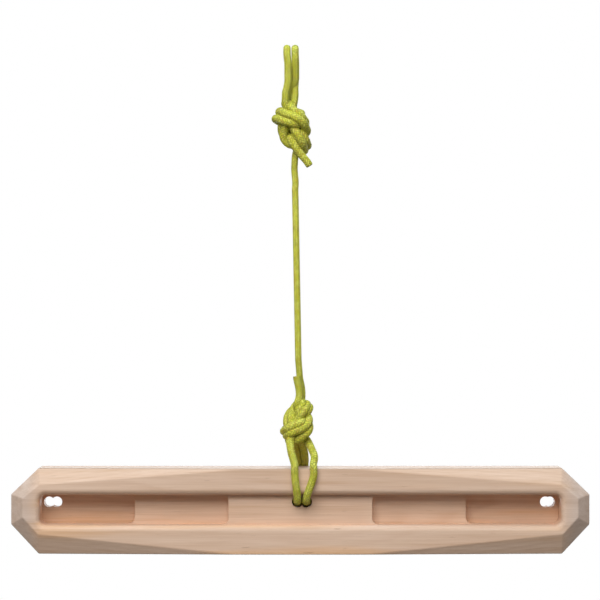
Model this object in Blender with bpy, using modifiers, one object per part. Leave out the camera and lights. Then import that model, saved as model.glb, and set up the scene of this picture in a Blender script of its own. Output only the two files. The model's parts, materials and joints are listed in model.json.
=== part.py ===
"""A travel hangboard: one faceted hardwood board on a knotted loop of accessory cord.

Metres, +Z up. The origin is the top of the inside of the two hanging loops, where they rest on a
bar. X runs along the board, the board's gripping face looks towards -Y, and the cord lies in Y = 0.
"""

import math

import bmesh
import bpy
import numpy as np
from mathutils import Vector

# Board
BOARD_LENGTH = 0.540
BOARD_HEIGHT = 0.080
BOARD_THICKNESS = 0.045
BOARD_CENTRE_X = 0.0085
BOARD_CENTRE_Z = -0.430
BOARD_FRONT_Y = -0.0252
BOARD_EDGE_SOFTENING = 0.0007

# Facets round the gripping face, as on a cut gem
FACET_DEPTH = 0.010
CORNER_CUT_LENGTH = 0.0257
UPPER_CORNER_CUT_HEIGHT = 0.0245
LOWER_CORNER_CUT_HEIGHT = 0.0275
TIP_FACET_WIDTH = 0.0115
TIP_FACET_TOP_DROP = 0.0032
TIP_FACET_BOTTOM_RISE = 0.0072
UPPER_CREST_INSET = 0.0275
UPPER_CREST_DROP = 0.015
LOWER_CREST_INSET = 0.0257
LOWER_CREST_RISE = 0.019
UPPER_SLIVER_START = 0.047
LOWER_SLIVER_START = 0.060

# Grip slot and the pockets in its back
SLOT_END_MARGIN = 0.027
SLOT_HEIGHT = 0.0284
SLOT_RAISE = 0.0012
SLOT_CORNER_RADIUS = 0.006
SLOT_LIP_RADIUS = 0.0055
CENTRE_POCKET_HALF_LENGTH = 0.067
MID_POCKET_LENGTH = 0.088
CENTRE_POCKET_DEPTH = 0.010
MID_POCKET_DEPTH = 0.020
DEEP_POCKET_DEPTH = 0.030
POCKET_STEP_INSET = 0.00015

# Double holes for the cord
HOLE_RADIUS = 0.0053
HOLE_RAISE = 0.007
END_HOLE_MARGIN = 0.0374
LEFT_HOLE_SPACING = 0.0072
RIGHT_HOLE_SPACING = 0.0042
CENTRE_HOLE_SPACING = 0.0082
CENTRE_HOLE_SHIFT = 0.0015

# Cord
CORD_DIAMETER = 0.0062
STRAND_PITCH = 0.0069
CORD_END_GAP = 0.0003
CORD_CLEARANCE = 0.0005
CORD_SIDES_RESOLUTION = 2
CORD_POINT_STEP = 0.0035
ROUTE_STEP = 0.0005
LEG_STEP = 0.003
END_RING = 5
STRAIGHT_POINT_STEP = 0.014

# How far the cord bows sideways and down in the double hole
HOLE_BOW = 0.0016
HOLE_SAG = 0.0006

# Bar that the loops hang on, which is not part of the object
BAR_DIAMETER = 0.012
HANGING_LOOP_X = (-0.0040, 0.0036)

# Heights along the cord
UPPER_KNOT_TOP_Z = -0.040
UPPER_KNOT_CENTRE = (-0.0018, -0.0155, -0.0790)
UPPER_KNOT_BOTTOM_Z = -0.100
SWAY_Z = -0.150
TWIST_Z = -0.210
LOWER_KNOT_TOP_Z = -0.318
LOWER_KNOT_CENTRE = (0.0052, -0.0140, -0.3445)
LOWER_KNOT_BOTTOM_Z = -0.377
KNOT_LEAD = 0.032
LINE_TOP_X = 0.0031
LINE_BOTTOM_X = 0.0072

# Cut ends: where each is cut, and two points of the way that it is drawn along
UPPER_TAIL_Z = -0.1045
UPPER_TAIL_GUIDE = [(0.0260, -0.004, -0.1270), (0.0252, -0.004, -0.1242)]
LOWER_TAIL_Z = -0.304
LOWER_TAIL_GUIDE = [(0.0020, -0.0090, -0.2900), (0.0021, -0.0090, -0.2930)]

# Front legs of the loops round the board, where they cross its upper edge
BOARD_LOOP_FRONT_X = (0.0015, 0.0214)

# Colours, roughness
WOOD_COLOUR = (0.64, 0.44, 0.30, 1.0)
WOOD_ROUGHNESS = 0.55
CORD_COLOUR = (0.50, 0.48, 0.08, 1.0)
CORD_ROUGHNESS = 0.75

# The knot's plan before it is drawn tight: across, along and height of each point of its centre
# strand, in plan units. It is a figure-eight with the standing line below and the loops above.
KNOT_PLAN = [
    (-0.05, -2.05, 0.4), (-0.15, -1.50, 1.0), (-0.10, -0.90, 0.4),
    (0.12, -0.30, -1.0), (0.45, 0.30, -0.6), (0.95, 0.90, 0.2), (0.75, 1.50, 0.7),
    (0.10, 1.75, 1.0), (-0.65, 1.50, 0.6), (-0.90, 0.95, 0.0), (-0.55, 0.35, -0.6),
    (-0.28, 0.00, -1.0), (0.12, -0.30, 1.0), (0.65, -0.75, 0.5), (0.95, -1.20, 0.0),
    (0.60, -1.60, -0.6), (-0.15, -1.75, -1.0), (-0.80, -1.50, -0.5), (-0.95, -1.00, 0.1),
    (-0.60, -0.40, 0.7), (-0.28, 0.00, 1.0), (0.00, 0.70, 0.2), (0.10, 1.60, -1.0),
    (0.10, 2.10, -0.8),
]
KNOT_PLAN_UNIT = 0.017
KNOT_PLAN_HEIGHT = 0.0085
KNOT_LANE_PITCH = 0.0070

# The collar strand's way back through the middle of the knot, in the same units
COLLAR_RETURN = [
    (0.45, -2.15, 0.47), (0.80, -2.45, 0.12), (1.15, -2.15, 0.0), (0.95, -1.70, 0.0),
    (0.40, -1.20, 0.0), (0.15, -0.60, 0.0), (-0.05, 0.00, 0.0), (-0.10, 0.80, 0.0),
    (0.05, 1.50, 0.0),
]

# Settling of the knot: beads this far apart are drawn along the strand and kept a pitch apart
BEAD_STEP = 0.0030
LOOSE_ROUNDS = 40
DRAWING_ROUNDS = 800
EASING_ROUNDS = 160


def clear_scene():
    for item in list(bpy.data.objects):
        bpy.data.objects.remove(item, do_unlink=True)


def make_collection(name):
    collection = bpy.data.collections.new(name)
    bpy.context.scene.collection.children.link(collection)
    return collection


def make_material(name, colour, roughness):
    material = bpy.data.materials.new(name)
    material.use_nodes = True
    shader = material.node_tree.nodes["Principled BSDF"]
    shader.inputs["Base Color"].default_value = colour
    shader.inputs["Roughness"].default_value = roughness
    shader.inputs["Metallic"].default_value = 0.0
    material.diffuse_color = colour
    return material


def make_empty(name, location, collection, parent=None):
    empty = bpy.data.objects.new(name, None)
    empty.empty_display_size = 0.02
    collection.objects.link(empty)
    empty.parent = parent
    empty.location = Vector(location) - (parent.matrix_world.translation if parent else Vector())
    bpy.context.view_layer.update()
    return empty


def hang_on(piece, parent):
    """Parents a piece that is built in place, keeping its place."""
    if parent is None:
        return
    piece.parent = parent
    piece.matrix_parent_inverse = parent.matrix_world.inverted()


# Board


def board_front_corners():
    """Right half of the outline of the gripping face, from the top down, as (x, z)."""
    half, top, bottom = BOARD_LENGTH / 2, BOARD_HEIGHT / 2, -BOARD_HEIGHT / 2
    tip = half - TIP_FACET_WIDTH
    return [
        (UPPER_SLIVER_START, top),
        (half - UPPER_CREST_INSET, top - UPPER_CREST_DROP),
        (tip, top - UPPER_CORNER_CUT_HEIGHT - TIP_FACET_TOP_DROP),
        (tip, bottom + LOWER_CORNER_CUT_HEIGHT + TIP_FACET_BOTTOM_RISE),
        (half - LOWER_CREST_INSET, bottom + LOWER_CREST_RISE),
        (LOWER_SLIVER_START, bottom),
    ]


def board_outer_corners():
    """Right half of the outline of the board behind its facets, from the top down."""
    half, top, bottom = BOARD_LENGTH / 2, BOARD_HEIGHT / 2, -BOARD_HEIGHT / 2
    return [
        (half - CORNER_CUT_LENGTH, top),
        (half, top - UPPER_CORNER_CUT_HEIGHT),
        (half, bottom + LOWER_CORNER_CUT_HEIGHT),
        (half - CORNER_CUT_LENGTH, bottom),
    ]


def board_point(x, depth, z):
    """A point given from the board's middle and from its gripping face."""
    return Vector((BOARD_CENTRE_X + x, BOARD_FRONT_Y + depth, BOARD_CENTRE_Z + z))


def make_blank(collection):
    """The faceted blank, as the hull of its corners."""
    mesh = bmesh.new()
    rings = (
        (board_front_corners(), 0.0),
        (board_outer_corners(), FACET_DEPTH),
        (board_outer_corners(), BOARD_THICKNESS),
    )
    for corners, depth in rings:
        for x, z in corners:
            for side in (-1, 1):
                mesh.verts.new(board_point(side * x, depth, z))
    bmesh.ops.convex_hull(mesh, input=mesh.verts)
    bmesh.ops.dissolve_limit(
        mesh, angle_limit=math.radians(2.0), verts=mesh.verts, edges=mesh.edges)
    bmesh.ops.recalc_face_normals(mesh, faces=mesh.faces)
    data = bpy.data.meshes.new("board")
    mesh.to_mesh(data)
    mesh.free()
    board = bpy.data.objects.new("board", data)
    collection.objects.link(board)
    soften = board.modifiers.new("softened_edges", "BEVEL")
    soften.width = BOARD_EDGE_SOFTENING
    soften.segments = 1
    soften.limit_method = "ANGLE"
    soften.angle_limit = math.radians(12.0)
    return board


def rounded_outline(half_x, half_z, radius, steps=5):
    """Corner points of a rounded rectangle, anticlockwise."""
    points = []
    for quarter in range(4):
        sign_x = (1, -1, -1, 1)[quarter]
        sign_z = (1, 1, -1, -1)[quarter]
        for step in range(steps + 1):
            angle = math.radians(90.0 * (quarter + step / steps))
            points.append((
                sign_x * (half_x - radius) + radius * math.cos(angle),
                sign_z * (half_z - radius) + radius * math.sin(angle),
            ))
    return points


def make_pocket_cutter(name, centre_x, half_x, half_z, sections, collection):
    """A cutter whose rounded outline grows by an offset at each depth: (depth, offset)."""
    mesh = bmesh.new()
    loops = []
    for depth, offset in sections:
        outline = rounded_outline(half_x + offset, half_z + offset, SLOT_CORNER_RADIUS + offset)
        loops.append([
            mesh.verts.new(board_point(centre_x + x, depth, SLOT_RAISE + z)) for x, z in outline])
    count = len(loops[0])
    for near, far in zip(loops, loops[1:]):
        for index in range(count):
            after = (index + 1) % count
            mesh.faces.new((near[index], near[after], far[after], far[index]))
    mesh.faces.new(loops[0])
    mesh.faces.new(loops[-1])
    bmesh.ops.recalc_face_normals(mesh, faces=mesh.faces)
    data = bpy.data.meshes.new(name)
    mesh.to_mesh(data)
    mesh.free()
    return make_cutter(name, data, collection)


def make_cutter(name, data, collection):
    cutter = bpy.data.objects.new(name, data)
    cutter.hide_render = True
    cutter.display_type = "WIRE"
    collection.objects.link(cutter)
    return cutter


def lip_sections(depth):
    """Depths and offsets of a cutter that leaves a rounded lip and then runs straight."""
    sections = [(-SLOT_LIP_RADIUS, SLOT_LIP_RADIUS)]
    steps = 5
    for step in range(steps + 1):
        angle = math.radians(90.0 * step / steps)
        into = SLOT_LIP_RADIUS * (1 - math.cos(angle))
        sections.append((into, SLOT_LIP_RADIUS * (1 - math.sin(angle))))
    sections.append((depth, 0.0))
    return sections


def make_hole_cutter(name, x, collection):
    mesh = bmesh.new()
    bmesh.ops.create_cone(
        mesh, cap_ends=True, segments=28, radius1=HOLE_RADIUS, radius2=HOLE_RADIUS,
        depth=BOARD_THICKNESS * 2)
    turn = Vector((0, 0, 1)).rotation_difference(Vector((0, 1, 0))).to_matrix()
    bmesh.ops.rotate(mesh, verts=mesh.verts, cent=(0, 0, 0), matrix=turn)
    bmesh.ops.translate(mesh, verts=mesh.verts, vec=board_point(x, BOARD_THICKNESS / 2, HOLE_RAISE))
    data = bpy.data.meshes.new(name)
    mesh.to_mesh(data)
    mesh.free()
    return make_cutter(name, data, collection)


def hole_places():
    """Name and x of each drilled hole, two for each double hole."""
    end = BOARD_LENGTH / 2 - END_HOLE_MARGIN
    doubles = (
        ("left", -end, LEFT_HOLE_SPACING),
        ("centre", CENTRE_HOLE_SHIFT, CENTRE_HOLE_SPACING),
        ("right", end, RIGHT_HOLE_SPACING),
    )
    for name, x, spacing in doubles:
        yield name + "_hole_a", x - spacing / 2
        yield name + "_hole_b", x + spacing / 2


def make_board(parts, cutters):
    board = make_blank(parts)
    slot_half = BOARD_LENGTH / 2 - SLOT_END_MARGIN
    half_z = SLOT_HEIGHT / 2
    tools = [make_pocket_cutter(
        "slot_cutter", 0.0, slot_half, half_z, lip_sections(CENTRE_POCKET_DEPTH), cutters)]
    deep_start = CENTRE_POCKET_HALF_LENGTH + MID_POCKET_LENGTH
    steps = (
        ("mid", CENTRE_POCKET_HALF_LENGTH, MID_POCKET_DEPTH, SLOT_LIP_RADIUS, 1),
        ("deep", deep_start, DEEP_POCKET_DEPTH, CENTRE_POCKET_DEPTH + SLOT_LIP_RADIUS, 2),
    )
    for name, inner, depth, start, order in steps:
        inset = order * POCKET_STEP_INSET
        half_x = (slot_half - inset - inner) / 2
        for side, label in ((-1, "left"), (1, "right")):
            tools.append(make_pocket_cutter(
                f"{label}_{name}_cutter", side * (inner + half_x), half_x, half_z - inset,
                [(start, 0.0), (depth, 0.0)], cutters))
    for name, x in hole_places():
        tools.append(make_hole_cutter(name, x, cutters))
    for tool in tools:
        cut = board.modifiers.new(tool.name, "BOOLEAN")
        cut.operation = "DIFFERENCE"
        cut.solver = "EXACT"
        cut.object = tool
    return board


# Cord


def resample(points, step):
    """Points the same distance apart along a polyline."""
    lengths = np.sqrt(((points[1:] - points[:-1]) ** 2).sum(1))
    along = np.concatenate([[0.0], np.cumsum(lengths)])
    count = max(4, int(round(along[-1] / step)) + 1)
    wanted = np.linspace(0.0, along[-1], count)
    return np.stack([np.interp(wanted, along, points[:, axis]) for axis in range(3)], axis=1)


def smooth_curve(points, step):
    """A smooth curve through the points, as points a step apart."""
    route = np.asarray(points, dtype=float)
    route = np.vstack([2 * route[0] - route[1], route, 2 * route[-1] - route[-2]])
    t = np.linspace(0.0, 1.0, 16, endpoint=False)[:, None]
    pieces = []
    for a, b, c, d in zip(route, route[1:], route[2:], route[3:]):
        pieces.append(0.5 * (
            2 * b + (c - a) * t + (2 * a - 5 * b + 4 * c - d) * t * t
            + (3 * b - a - 3 * c + d) * t * t * t))
    pieces.append(route[-2:-1])
    return resample(np.vstack(pieces), step)


def bead_numbers(strands):
    """For each bead of all the strands: its strand, and its place on it from either end."""
    owner = np.concatenate([np.full(len(s), k) for k, s in enumerate(strands)])
    place = np.concatenate([np.arange(len(s)) for s in strands])
    from_end = np.concatenate([np.minimum(np.arange(len(s)), np.arange(len(s))[::-1]) for s in strands])
    return owner, place, from_end


def close_pairs(strands, reach, skip):
    """Pairs of beads nearer than reach, apart from those close together along one strand."""
    beads = np.vstack(strands)
    owner, place, _ = bead_numbers(strands)
    squared = ((beads[:, None, :] - beads[None, :, :]) ** 2).sum(2)
    same = (owner[:, None] == owner[None, :]) & (np.abs(place[:, None] - place[None, :]) <= skip)
    return np.nonzero(np.triu((squared < reach * reach) & ~same, 1))


def draw_tight(strands, pitch, rounds, pull, pushes):
    """Shortens the strands between their fixed ends while keeping them a pitch apart."""
    skip = int(round(1.5 * pitch / BEAD_STEP))
    strands = [s.copy() for s in strands]
    for turn in range(rounds):
        if turn % 8 == 0:
            strands = [resample(s, BEAD_STEP) for s in strands]
            first, second = close_pairs(strands, 1.5 * pitch, skip)
            _, _, from_end = bead_numbers(strands)
            freedom = np.clip((from_end - 1) / 2.0, 0.0, 1.0)
            total = len(freedom)
        starts = np.cumsum([0] + [len(s) for s in strands])
        beads = np.vstack(strands)
        bend = np.zeros_like(beads)
        for start, strand in zip(starts, strands):
            bend[start + 1:start + len(strand) - 1] = strand[:-2] + strand[2:] - 2 * strand[1:-1]
        beads = beads + pull * bend * freedom[:, None]
        for _ in range(pushes):
            apart = beads[first] - beads[second]
            distance = np.sqrt((apart ** 2).sum(1))
            overlap = np.maximum(pitch - distance, 0.0)
            push = apart * (0.5 * overlap / np.maximum(distance, 1e-9))[:, None]
            touching = (overlap > 0).astype(float)
            count = np.bincount(first, touching, total) + np.bincount(second, touching, total)
            move = np.stack([
                np.bincount(first, push[:, axis], total) - np.bincount(second, push[:, axis], total)
                for axis in range(3)], axis=1)
            beads = beads + move * (1.3 * freedom / np.maximum(count, 1.0))[:, None]
        strands = [beads[a:b] for a, b in zip(starts, starts[1:])]
    return strands


def least_gap(routes):
    """Least clear gap between the strands, and between far parts of one strand."""
    step = 0.001
    fine = [resample(np.asarray(route), step) for route in routes]
    skip = int(round(1.6 * STRAND_PITCH / step))
    first, second = close_pairs(fine, 1.5 * STRAND_PITCH, skip)
    beads = np.vstack(fine)
    return float(np.sqrt(((beads[first] - beads[second]) ** 2).sum(1)).min()) - CORD_DIAMETER


def plan_to_metres(points):
    """Plan units to metres: across, along and height over the plan."""
    scale = np.array([KNOT_PLAN_UNIT, KNOT_PLAN_UNIT, KNOT_PLAN_HEIGHT])
    return np.asarray(points, dtype=float) * scale


def turn_plan(points):
    """Stands the plan edge-on: its height points left, and its across points to the front."""
    return np.stack([-points[:, 2], points[:, 1], points[:, 0]], axis=1)


def lane(centre, offset):
    """A strand lying beside the centre one."""
    along = np.gradient(centre, axis=0)
    across = np.stack([-along[:, 1], along[:, 0], np.zeros(len(along))], axis=1)
    across /= np.sqrt((across ** 2).sum(1))[:, None]
    return centre + across * offset


def tie_knot(ends):
    """The three strands of one knot, drawn tight between their ends.

    Each of the ends is a few points in the knot's frame, from the end inwards. The first two of
    them stay where they are.
    """
    centre = smooth_curve(plan_to_metres(KNOT_PLAN), 0.002)
    tail = turn_plan(resample(centre, 0.006))
    line = turn_plan(resample(lane(centre, KNOT_LANE_PITCH), 0.006))
    collar_in = turn_plan(resample(lane(centre, -KNOT_LANE_PITCH), 0.010))[::-1][:-2]
    collar_out = turn_plan(plan_to_metres(COLLAR_RETURN))
    strands = [
        np.vstack([ends["line"], line, ends["line_loop"][::-1]]),
        np.vstack([ends["collar_in"], collar_in, collar_out, ends["collar_out"][::-1]]),
        np.vstack([ends["tail_loop"], tail[::-1], ends["tail"][::-1]]),
    ]
    strands = [smooth_curve(strand, BEAD_STEP) for strand in strands]
    strands = draw_tight(strands, 0.8 * STRAND_PITCH, LOOSE_ROUNDS, 0.10, 3)
    strands = draw_tight(strands, STRAND_PITCH, DRAWING_ROUNDS, 0.40, 3)
    return draw_tight(strands, 1.02 * STRAND_PITCH, EASING_ROUNDS, 0.03, 6)


def world_to_knot(points, centre, upwards):
    """From the part's frame to a knot's, whose loops point up or down."""
    points = np.asarray(points, dtype=float)
    return np.stack([
        points[:, 0] - centre[0], upwards * (points[:, 2] - centre[2]), centre[1] - points[:, 1]],
        axis=1)


def knot_to_world(points, centre, upwards):
    return np.stack([
        centre[0] + points[:, 0], centre[1] - points[:, 2], centre[2] + upwards * points[:, 1]],
        axis=1)


def tie_knot_at(centre, upwards, ends):
    """The strands of a knot whose ends are given in the part's frame."""
    local = {name: world_to_knot(points, centre, upwards) for name, points in ends.items()}
    return [smooth_curve(knot_to_world(s, centre, upwards), ROUTE_STEP) for s in tie_knot(local)]


def split_at_height(route, height):
    """The part of a route before it first passes a height, and the rest."""
    above = route[:, 2] > height
    index = int(np.argmax(above != above[0]))
    return route[:index], route[index:]


def with_gap(route):
    """A route with half of the gap between two stretches of cord taken off either end."""
    fine = resample(route, ROUTE_STEP / 4)
    drop = int(round(CORD_END_GAP / 2 / (ROUTE_STEP / 4)))
    return fine[drop:-drop]


def make_tube(name, route, material, collection, step=CORD_POINT_STEP):
    """One stretch of cord along a route."""
    trimmed = with_gap(route)
    points = np.insert(resample(trimmed, step), (1, -1), (trimmed[END_RING], trimmed[-1 - END_RING]), 0)
    data = bpy.data.curves.new(name, "CURVE")
    data.dimensions = "3D"
    data.bevel_depth = CORD_DIAMETER / 2
    data.bevel_resolution = CORD_SIDES_RESOLUTION
    data.use_fill_caps = True
    spline = data.splines.new("POLY")
    spline.points.add(len(points) - 1)
    for target, point in zip(spline.points, points):
        target.co = (*point, 1.0)
    data.materials.append(material)
    tube = bpy.data.objects.new(name, data)
    collection.objects.link(tube)
    return tube


def line_x(z):
    """Where the line is, between the knots, at a height."""
    share = (z - UPPER_KNOT_BOTTOM_Z) / (LOWER_KNOT_TOP_Z - UPPER_KNOT_BOTTOM_Z)
    return LINE_TOP_X + share * (LINE_BOTTOM_X - LINE_TOP_X)


def hanging_legs(x):
    """Where a hanging loop's two legs leave the bar: the front and the back one's end points."""
    radius = (BAR_DIAMETER + CORD_DIAMETER) / 2
    centre_z = -BAR_DIAMETER / 2
    front = [(x, -radius, centre_z), (x, -radius + 0.0001, centre_z - BEAD_STEP)]
    back = [(px, -py, pz) for px, py, pz in front]
    return front, back


def over_the_bar(x):
    """The half turn of cord over the bar, from its front to its back."""
    radius = (BAR_DIAMETER + CORD_DIAMETER) / 2
    angles = np.radians(np.linspace(180.0, 0.0, 13)[1:-1])
    return np.stack([
        np.full(len(angles), x), radius * np.cos(angles),
        radius * np.sin(angles) - BAR_DIAMETER / 2], axis=1)


def board_legs(front_x, back_x):
    """Where a board loop's legs bend over the board's upper edges: the front and the back one's."""
    top = BOARD_CENTRE_Z + BOARD_HEIGHT / 2
    around = CORD_DIAMETER / 2 + CORD_CLEARANCE + 0.0001
    lean = math.radians(35.0)
    over, up = around * math.cos(lean), around * math.sin(lean)
    front_edge, back_edge = BOARD_FRONT_Y, BOARD_FRONT_Y + BOARD_THICKNESS
    front = [(front_x, front_edge - around, top), (front_x, front_edge - over, top + up)]
    back = [(back_x, back_edge + around, top), (back_x, back_edge + over, top + up)]
    return front, back


def round_the_board(front_x, x_hole):
    """From the board's front upper edge, through the double hole and up to its back upper edge."""
    keep_off = CORD_DIAMETER / 2 + CORD_CLEARANCE
    front = BOARD_FRONT_Y - keep_off
    back = BOARD_FRONT_Y + BOARD_THICKNESS + keep_off
    top = BOARD_CENTRE_Z + BOARD_HEIGHT / 2
    axis = BOARD_CENTRE_Z + HOLE_RAISE
    hole_top = axis + HOLE_RADIUS
    hole = hole_top - keep_off
    outwards = math.copysign(1.0, x_hole - BOARD_CENTRE_X - CENTRE_HOLE_SHIFT)
    x_middle = x_hole + outwards * HOLE_BOW
    x_back = x_hole - outwards * HOLE_BOW / 3
    inner_front = BOARD_FRONT_Y + CENTRE_POCKET_DEPTH
    inner_back = BOARD_FRONT_Y + BOARD_THICKNESS
    return np.array([
        (front_x, front - 0.0002, top - 0.0060),
        ((2 * front_x + x_hole) / 3, front - 0.0005, top - 0.0140),
        (x_hole, front + 0.0004, hole + 0.0062),
        (x_hole, front + 0.0044, hole + 0.0004),
        (x_hole, inner_front, axis + 0.0008),
        (x_middle, (inner_front + inner_back) / 2, axis - HOLE_SAG),
        (x_back, inner_back - 0.0060, axis),
        (x_hole, inner_back - 0.0005, hole - 0.0009),
        (x_hole, back - 0.0009, hole + 0.0006),
        (x_hole, back + 0.0005, hole_top - 0.0003),
        (x_hole, back + 0.0004, hole_top + 0.0050),
        (x_hole, back + 0.0002, top - 0.0100),
    ])


def off_the_edges(route):
    """Moves what lies too near the board's upper edges straight away from them."""
    around = CORD_DIAMETER / 2 + CORD_CLEARANCE + 0.0001
    route = route.copy()
    for edge_y in (BOARD_FRONT_Y, BOARD_FRONT_Y + BOARD_THICKNESS):
        edge = np.array([edge_y, BOARD_CENTRE_Z + BOARD_HEIGHT / 2])
        away = route[:, 1:] - edge
        distance = np.sqrt((away ** 2).sum(1))
        route[:, 1:] = edge + away * np.maximum(around / distance, 1.0)[:, None]
    return route


def join_legs(first, middle, last):
    """One route from a knot out along one leg, round what it goes round, and back."""
    out, back = resample(first, LEG_STEP), resample(last, LEG_STEP)
    return smooth_curve(np.vstack([out, middle, back]), ROUTE_STEP)


def upper_hitch():
    """Routes of the upper knot's strands, of the two hanging loops and of the line's start."""
    left_front, left_back = hanging_legs(HANGING_LOOP_X[0])
    right_front, right_back = hanging_legs(HANGING_LOOP_X[1])
    pin = UPPER_KNOT_BOTTOM_Z - KNOT_LEAD
    line, collar, tail = tie_knot_at(UPPER_KNOT_CENTRE, 1, {
        "line": [(line_x(z), 0.0, z) for z in (pin, pin + BEAD_STEP)],
        "line_loop": left_back, "collar_in": left_front,
        "collar_out": right_front, "tail_loop": right_back,
        "tail": UPPER_TAIL_GUIDE,
    })
    top = UPPER_KNOT_TOP_Z
    line_lead, line = split_at_height(line, UPPER_KNOT_BOTTOM_Z)
    line, left_back_leg = split_at_height(line, top)
    left_front_leg, collar = split_at_height(collar, top)
    collar, right_front_leg = split_at_height(collar, top)
    right_back_leg, tail = split_at_height(tail, top)
    tail, _ = split_at_height(tail, UPPER_TAIL_Z)
    return {
        "upper_knot_line_strand": line,
        "upper_knot_collar_strand": collar,
        "upper_knot_tail_strand": tail,
        "hanging_loop_left": join_legs(
            left_front_leg[::-1], over_the_bar(HANGING_LOOP_X[0]), left_back_leg[::-1]),
        "hanging_loop_right": join_legs(
            right_front_leg, over_the_bar(HANGING_LOOP_X[1]), right_back_leg),
    }, line_lead[::-1]


def lower_hitch():
    """Routes of the lower knot's strands, of the loops round the board and of the line's end."""
    hole_x = BOARD_CENTRE_X + CENTRE_HOLE_SHIFT
    holes = (hole_x - CENTRE_HOLE_SPACING / 2, hole_x + CENTRE_HOLE_SPACING / 2)
    left_front, left_back = board_legs(BOARD_LOOP_FRONT_X[0], holes[0])
    right_front, right_back = board_legs(BOARD_LOOP_FRONT_X[1], holes[1])
    pin = LOWER_KNOT_TOP_Z + KNOT_LEAD
    line, collar, tail = tie_knot_at(LOWER_KNOT_CENTRE, -1, {
        "line": [(line_x(z), 0.0, z) for z in (pin, pin - BEAD_STEP)],
        "line_loop": left_back, "collar_in": left_front,
        "collar_out": right_front, "tail_loop": right_back,
        "tail": LOWER_TAIL_GUIDE,
    })
    bottom = LOWER_KNOT_BOTTOM_Z
    line_lead, line = split_at_height(line, LOWER_KNOT_TOP_Z)
    line, left_back_leg = split_at_height(line, bottom)
    left_front_leg, collar = split_at_height(collar, bottom)
    collar, right_front_leg = split_at_height(collar, bottom)
    right_back_leg, tail = split_at_height(tail, bottom)
    tail, _ = split_at_height(tail, LOWER_TAIL_Z)
    return {
        "lower_knot_line_strand": line,
        "lower_knot_collar_strand": collar,
        "lower_knot_tail_strand": tail,
        "board_loop_left": off_the_edges(join_legs(
            left_front_leg[::-1], round_the_board(BOARD_LOOP_FRONT_X[0], holes[0]),
            left_back_leg[::-1])),
        "board_loop_right": off_the_edges(join_legs(
            right_front_leg, round_the_board(BOARD_LOOP_FRONT_X[1], holes[1]), right_back_leg)),
    }, line_lead


def unbroken(routes, prefix, left, right):
    """One hitch's whole cord, from the line, through both loops, to the cut end."""
    collar = routes[f"{prefix}_collar_strand"]
    return np.vstack([
        routes[f"{prefix}_line_strand"], routes[left][::-1], collar, routes[right],
        routes[f"{prefix}_tail_strand"]])


def line_routes(upper_lead, lower_lead):
    """The line between the knots, in three stretches that meet at its joints."""
    straight = np.array([(line_x(z), 0.0, z) for z in (SWAY_Z, TWIST_Z)])
    return {
        "line_top": np.vstack([upper_lead, straight[:1]]),
        "line_middle": straight,
        "line_bottom": np.vstack([straight[1:], lower_lead]),
    }


def make_joints(collection):
    """Empties on the joint axes, from the bar down."""
    mount = make_empty("hanging_point", (0.0, 0.0, 0.0), collection)
    places = (
        ("line_swing", (line_x(UPPER_KNOT_BOTTOM_Z), 0.0, UPPER_KNOT_BOTTOM_Z)),
        ("line_sway", (line_x(SWAY_Z), 0.0, SWAY_Z)),
        ("line_twist", (line_x(TWIST_Z), 0.0, TWIST_Z)),
        ("board_swing", (line_x(LOWER_KNOT_TOP_Z), 0.0, LOWER_KNOT_TOP_Z)),
        ("board_tip", (BOARD_CENTRE_X, 0.0, BOARD_CENTRE_Z + HOLE_RAISE)),
    )
    joints = {"hanging_point": mount}
    parent = mount
    for name, place in places:
        parent = make_empty(name, place, collection, parent)
        joints[name] = parent
    return joints


def main():
    clear_scene()
    parts = make_collection("hangboard")
    cutters = make_collection("cutters")
    wood = make_material("hardwood", WOOD_COLOUR, WOOD_ROUGHNESS)
    cord = make_material("cord_sheath", CORD_COLOUR, CORD_ROUGHNESS)
    joints = make_joints(parts)
    board = make_board(parts, cutters)
    board.data.materials.append(wood)
    hang_on(board, joints["board_tip"])
    upper, upper_lead = upper_hitch()
    lower, lower_lead = lower_hitch()
    line = line_routes(upper_lead, lower_lead)
    line_joints = {
        "line_top": "line_swing", "line_middle": "line_sway", "line_bottom": "line_twist"}
    for name, route in upper.items():
        hang_on(make_tube(name, route, cord, parts), joints["hanging_point"])
    for name, route in line.items():
        hang_on(make_tube(name, route, cord, parts, STRAIGHT_POINT_STEP), joints[line_joints[name]])
    for name, route in lower.items():
        hang_on(make_tube(name, route, cord, parts), joints["board_swing"])
    hitches = (
        ("upper", unbroken(upper, "upper_knot", "hanging_loop_left", "hanging_loop_right")),
        ("lower", unbroken(lower, "lower_knot", "board_loop_left", "board_loop_right")),
    )
    for name, route in hitches:
        print(f"Least gap in the {name} hitch: {1000 * least_gap([route]):.2f} mm")
    bpy.context.view_layer.update()


main()
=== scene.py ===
"""Looks of the travel hangboard: a sanded hardwood board on a knotted, woven cord.

Metres, +Z up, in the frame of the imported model. The origin is the top of the inside of the two
hanging loops, X runs along the board, and its gripping face looks towards -Y.
"""

from __future__ import annotations

import json
import logging
import math
from collections.abc import Iterator, Sequence
from dataclasses import dataclass, field
from enum import Enum

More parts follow.
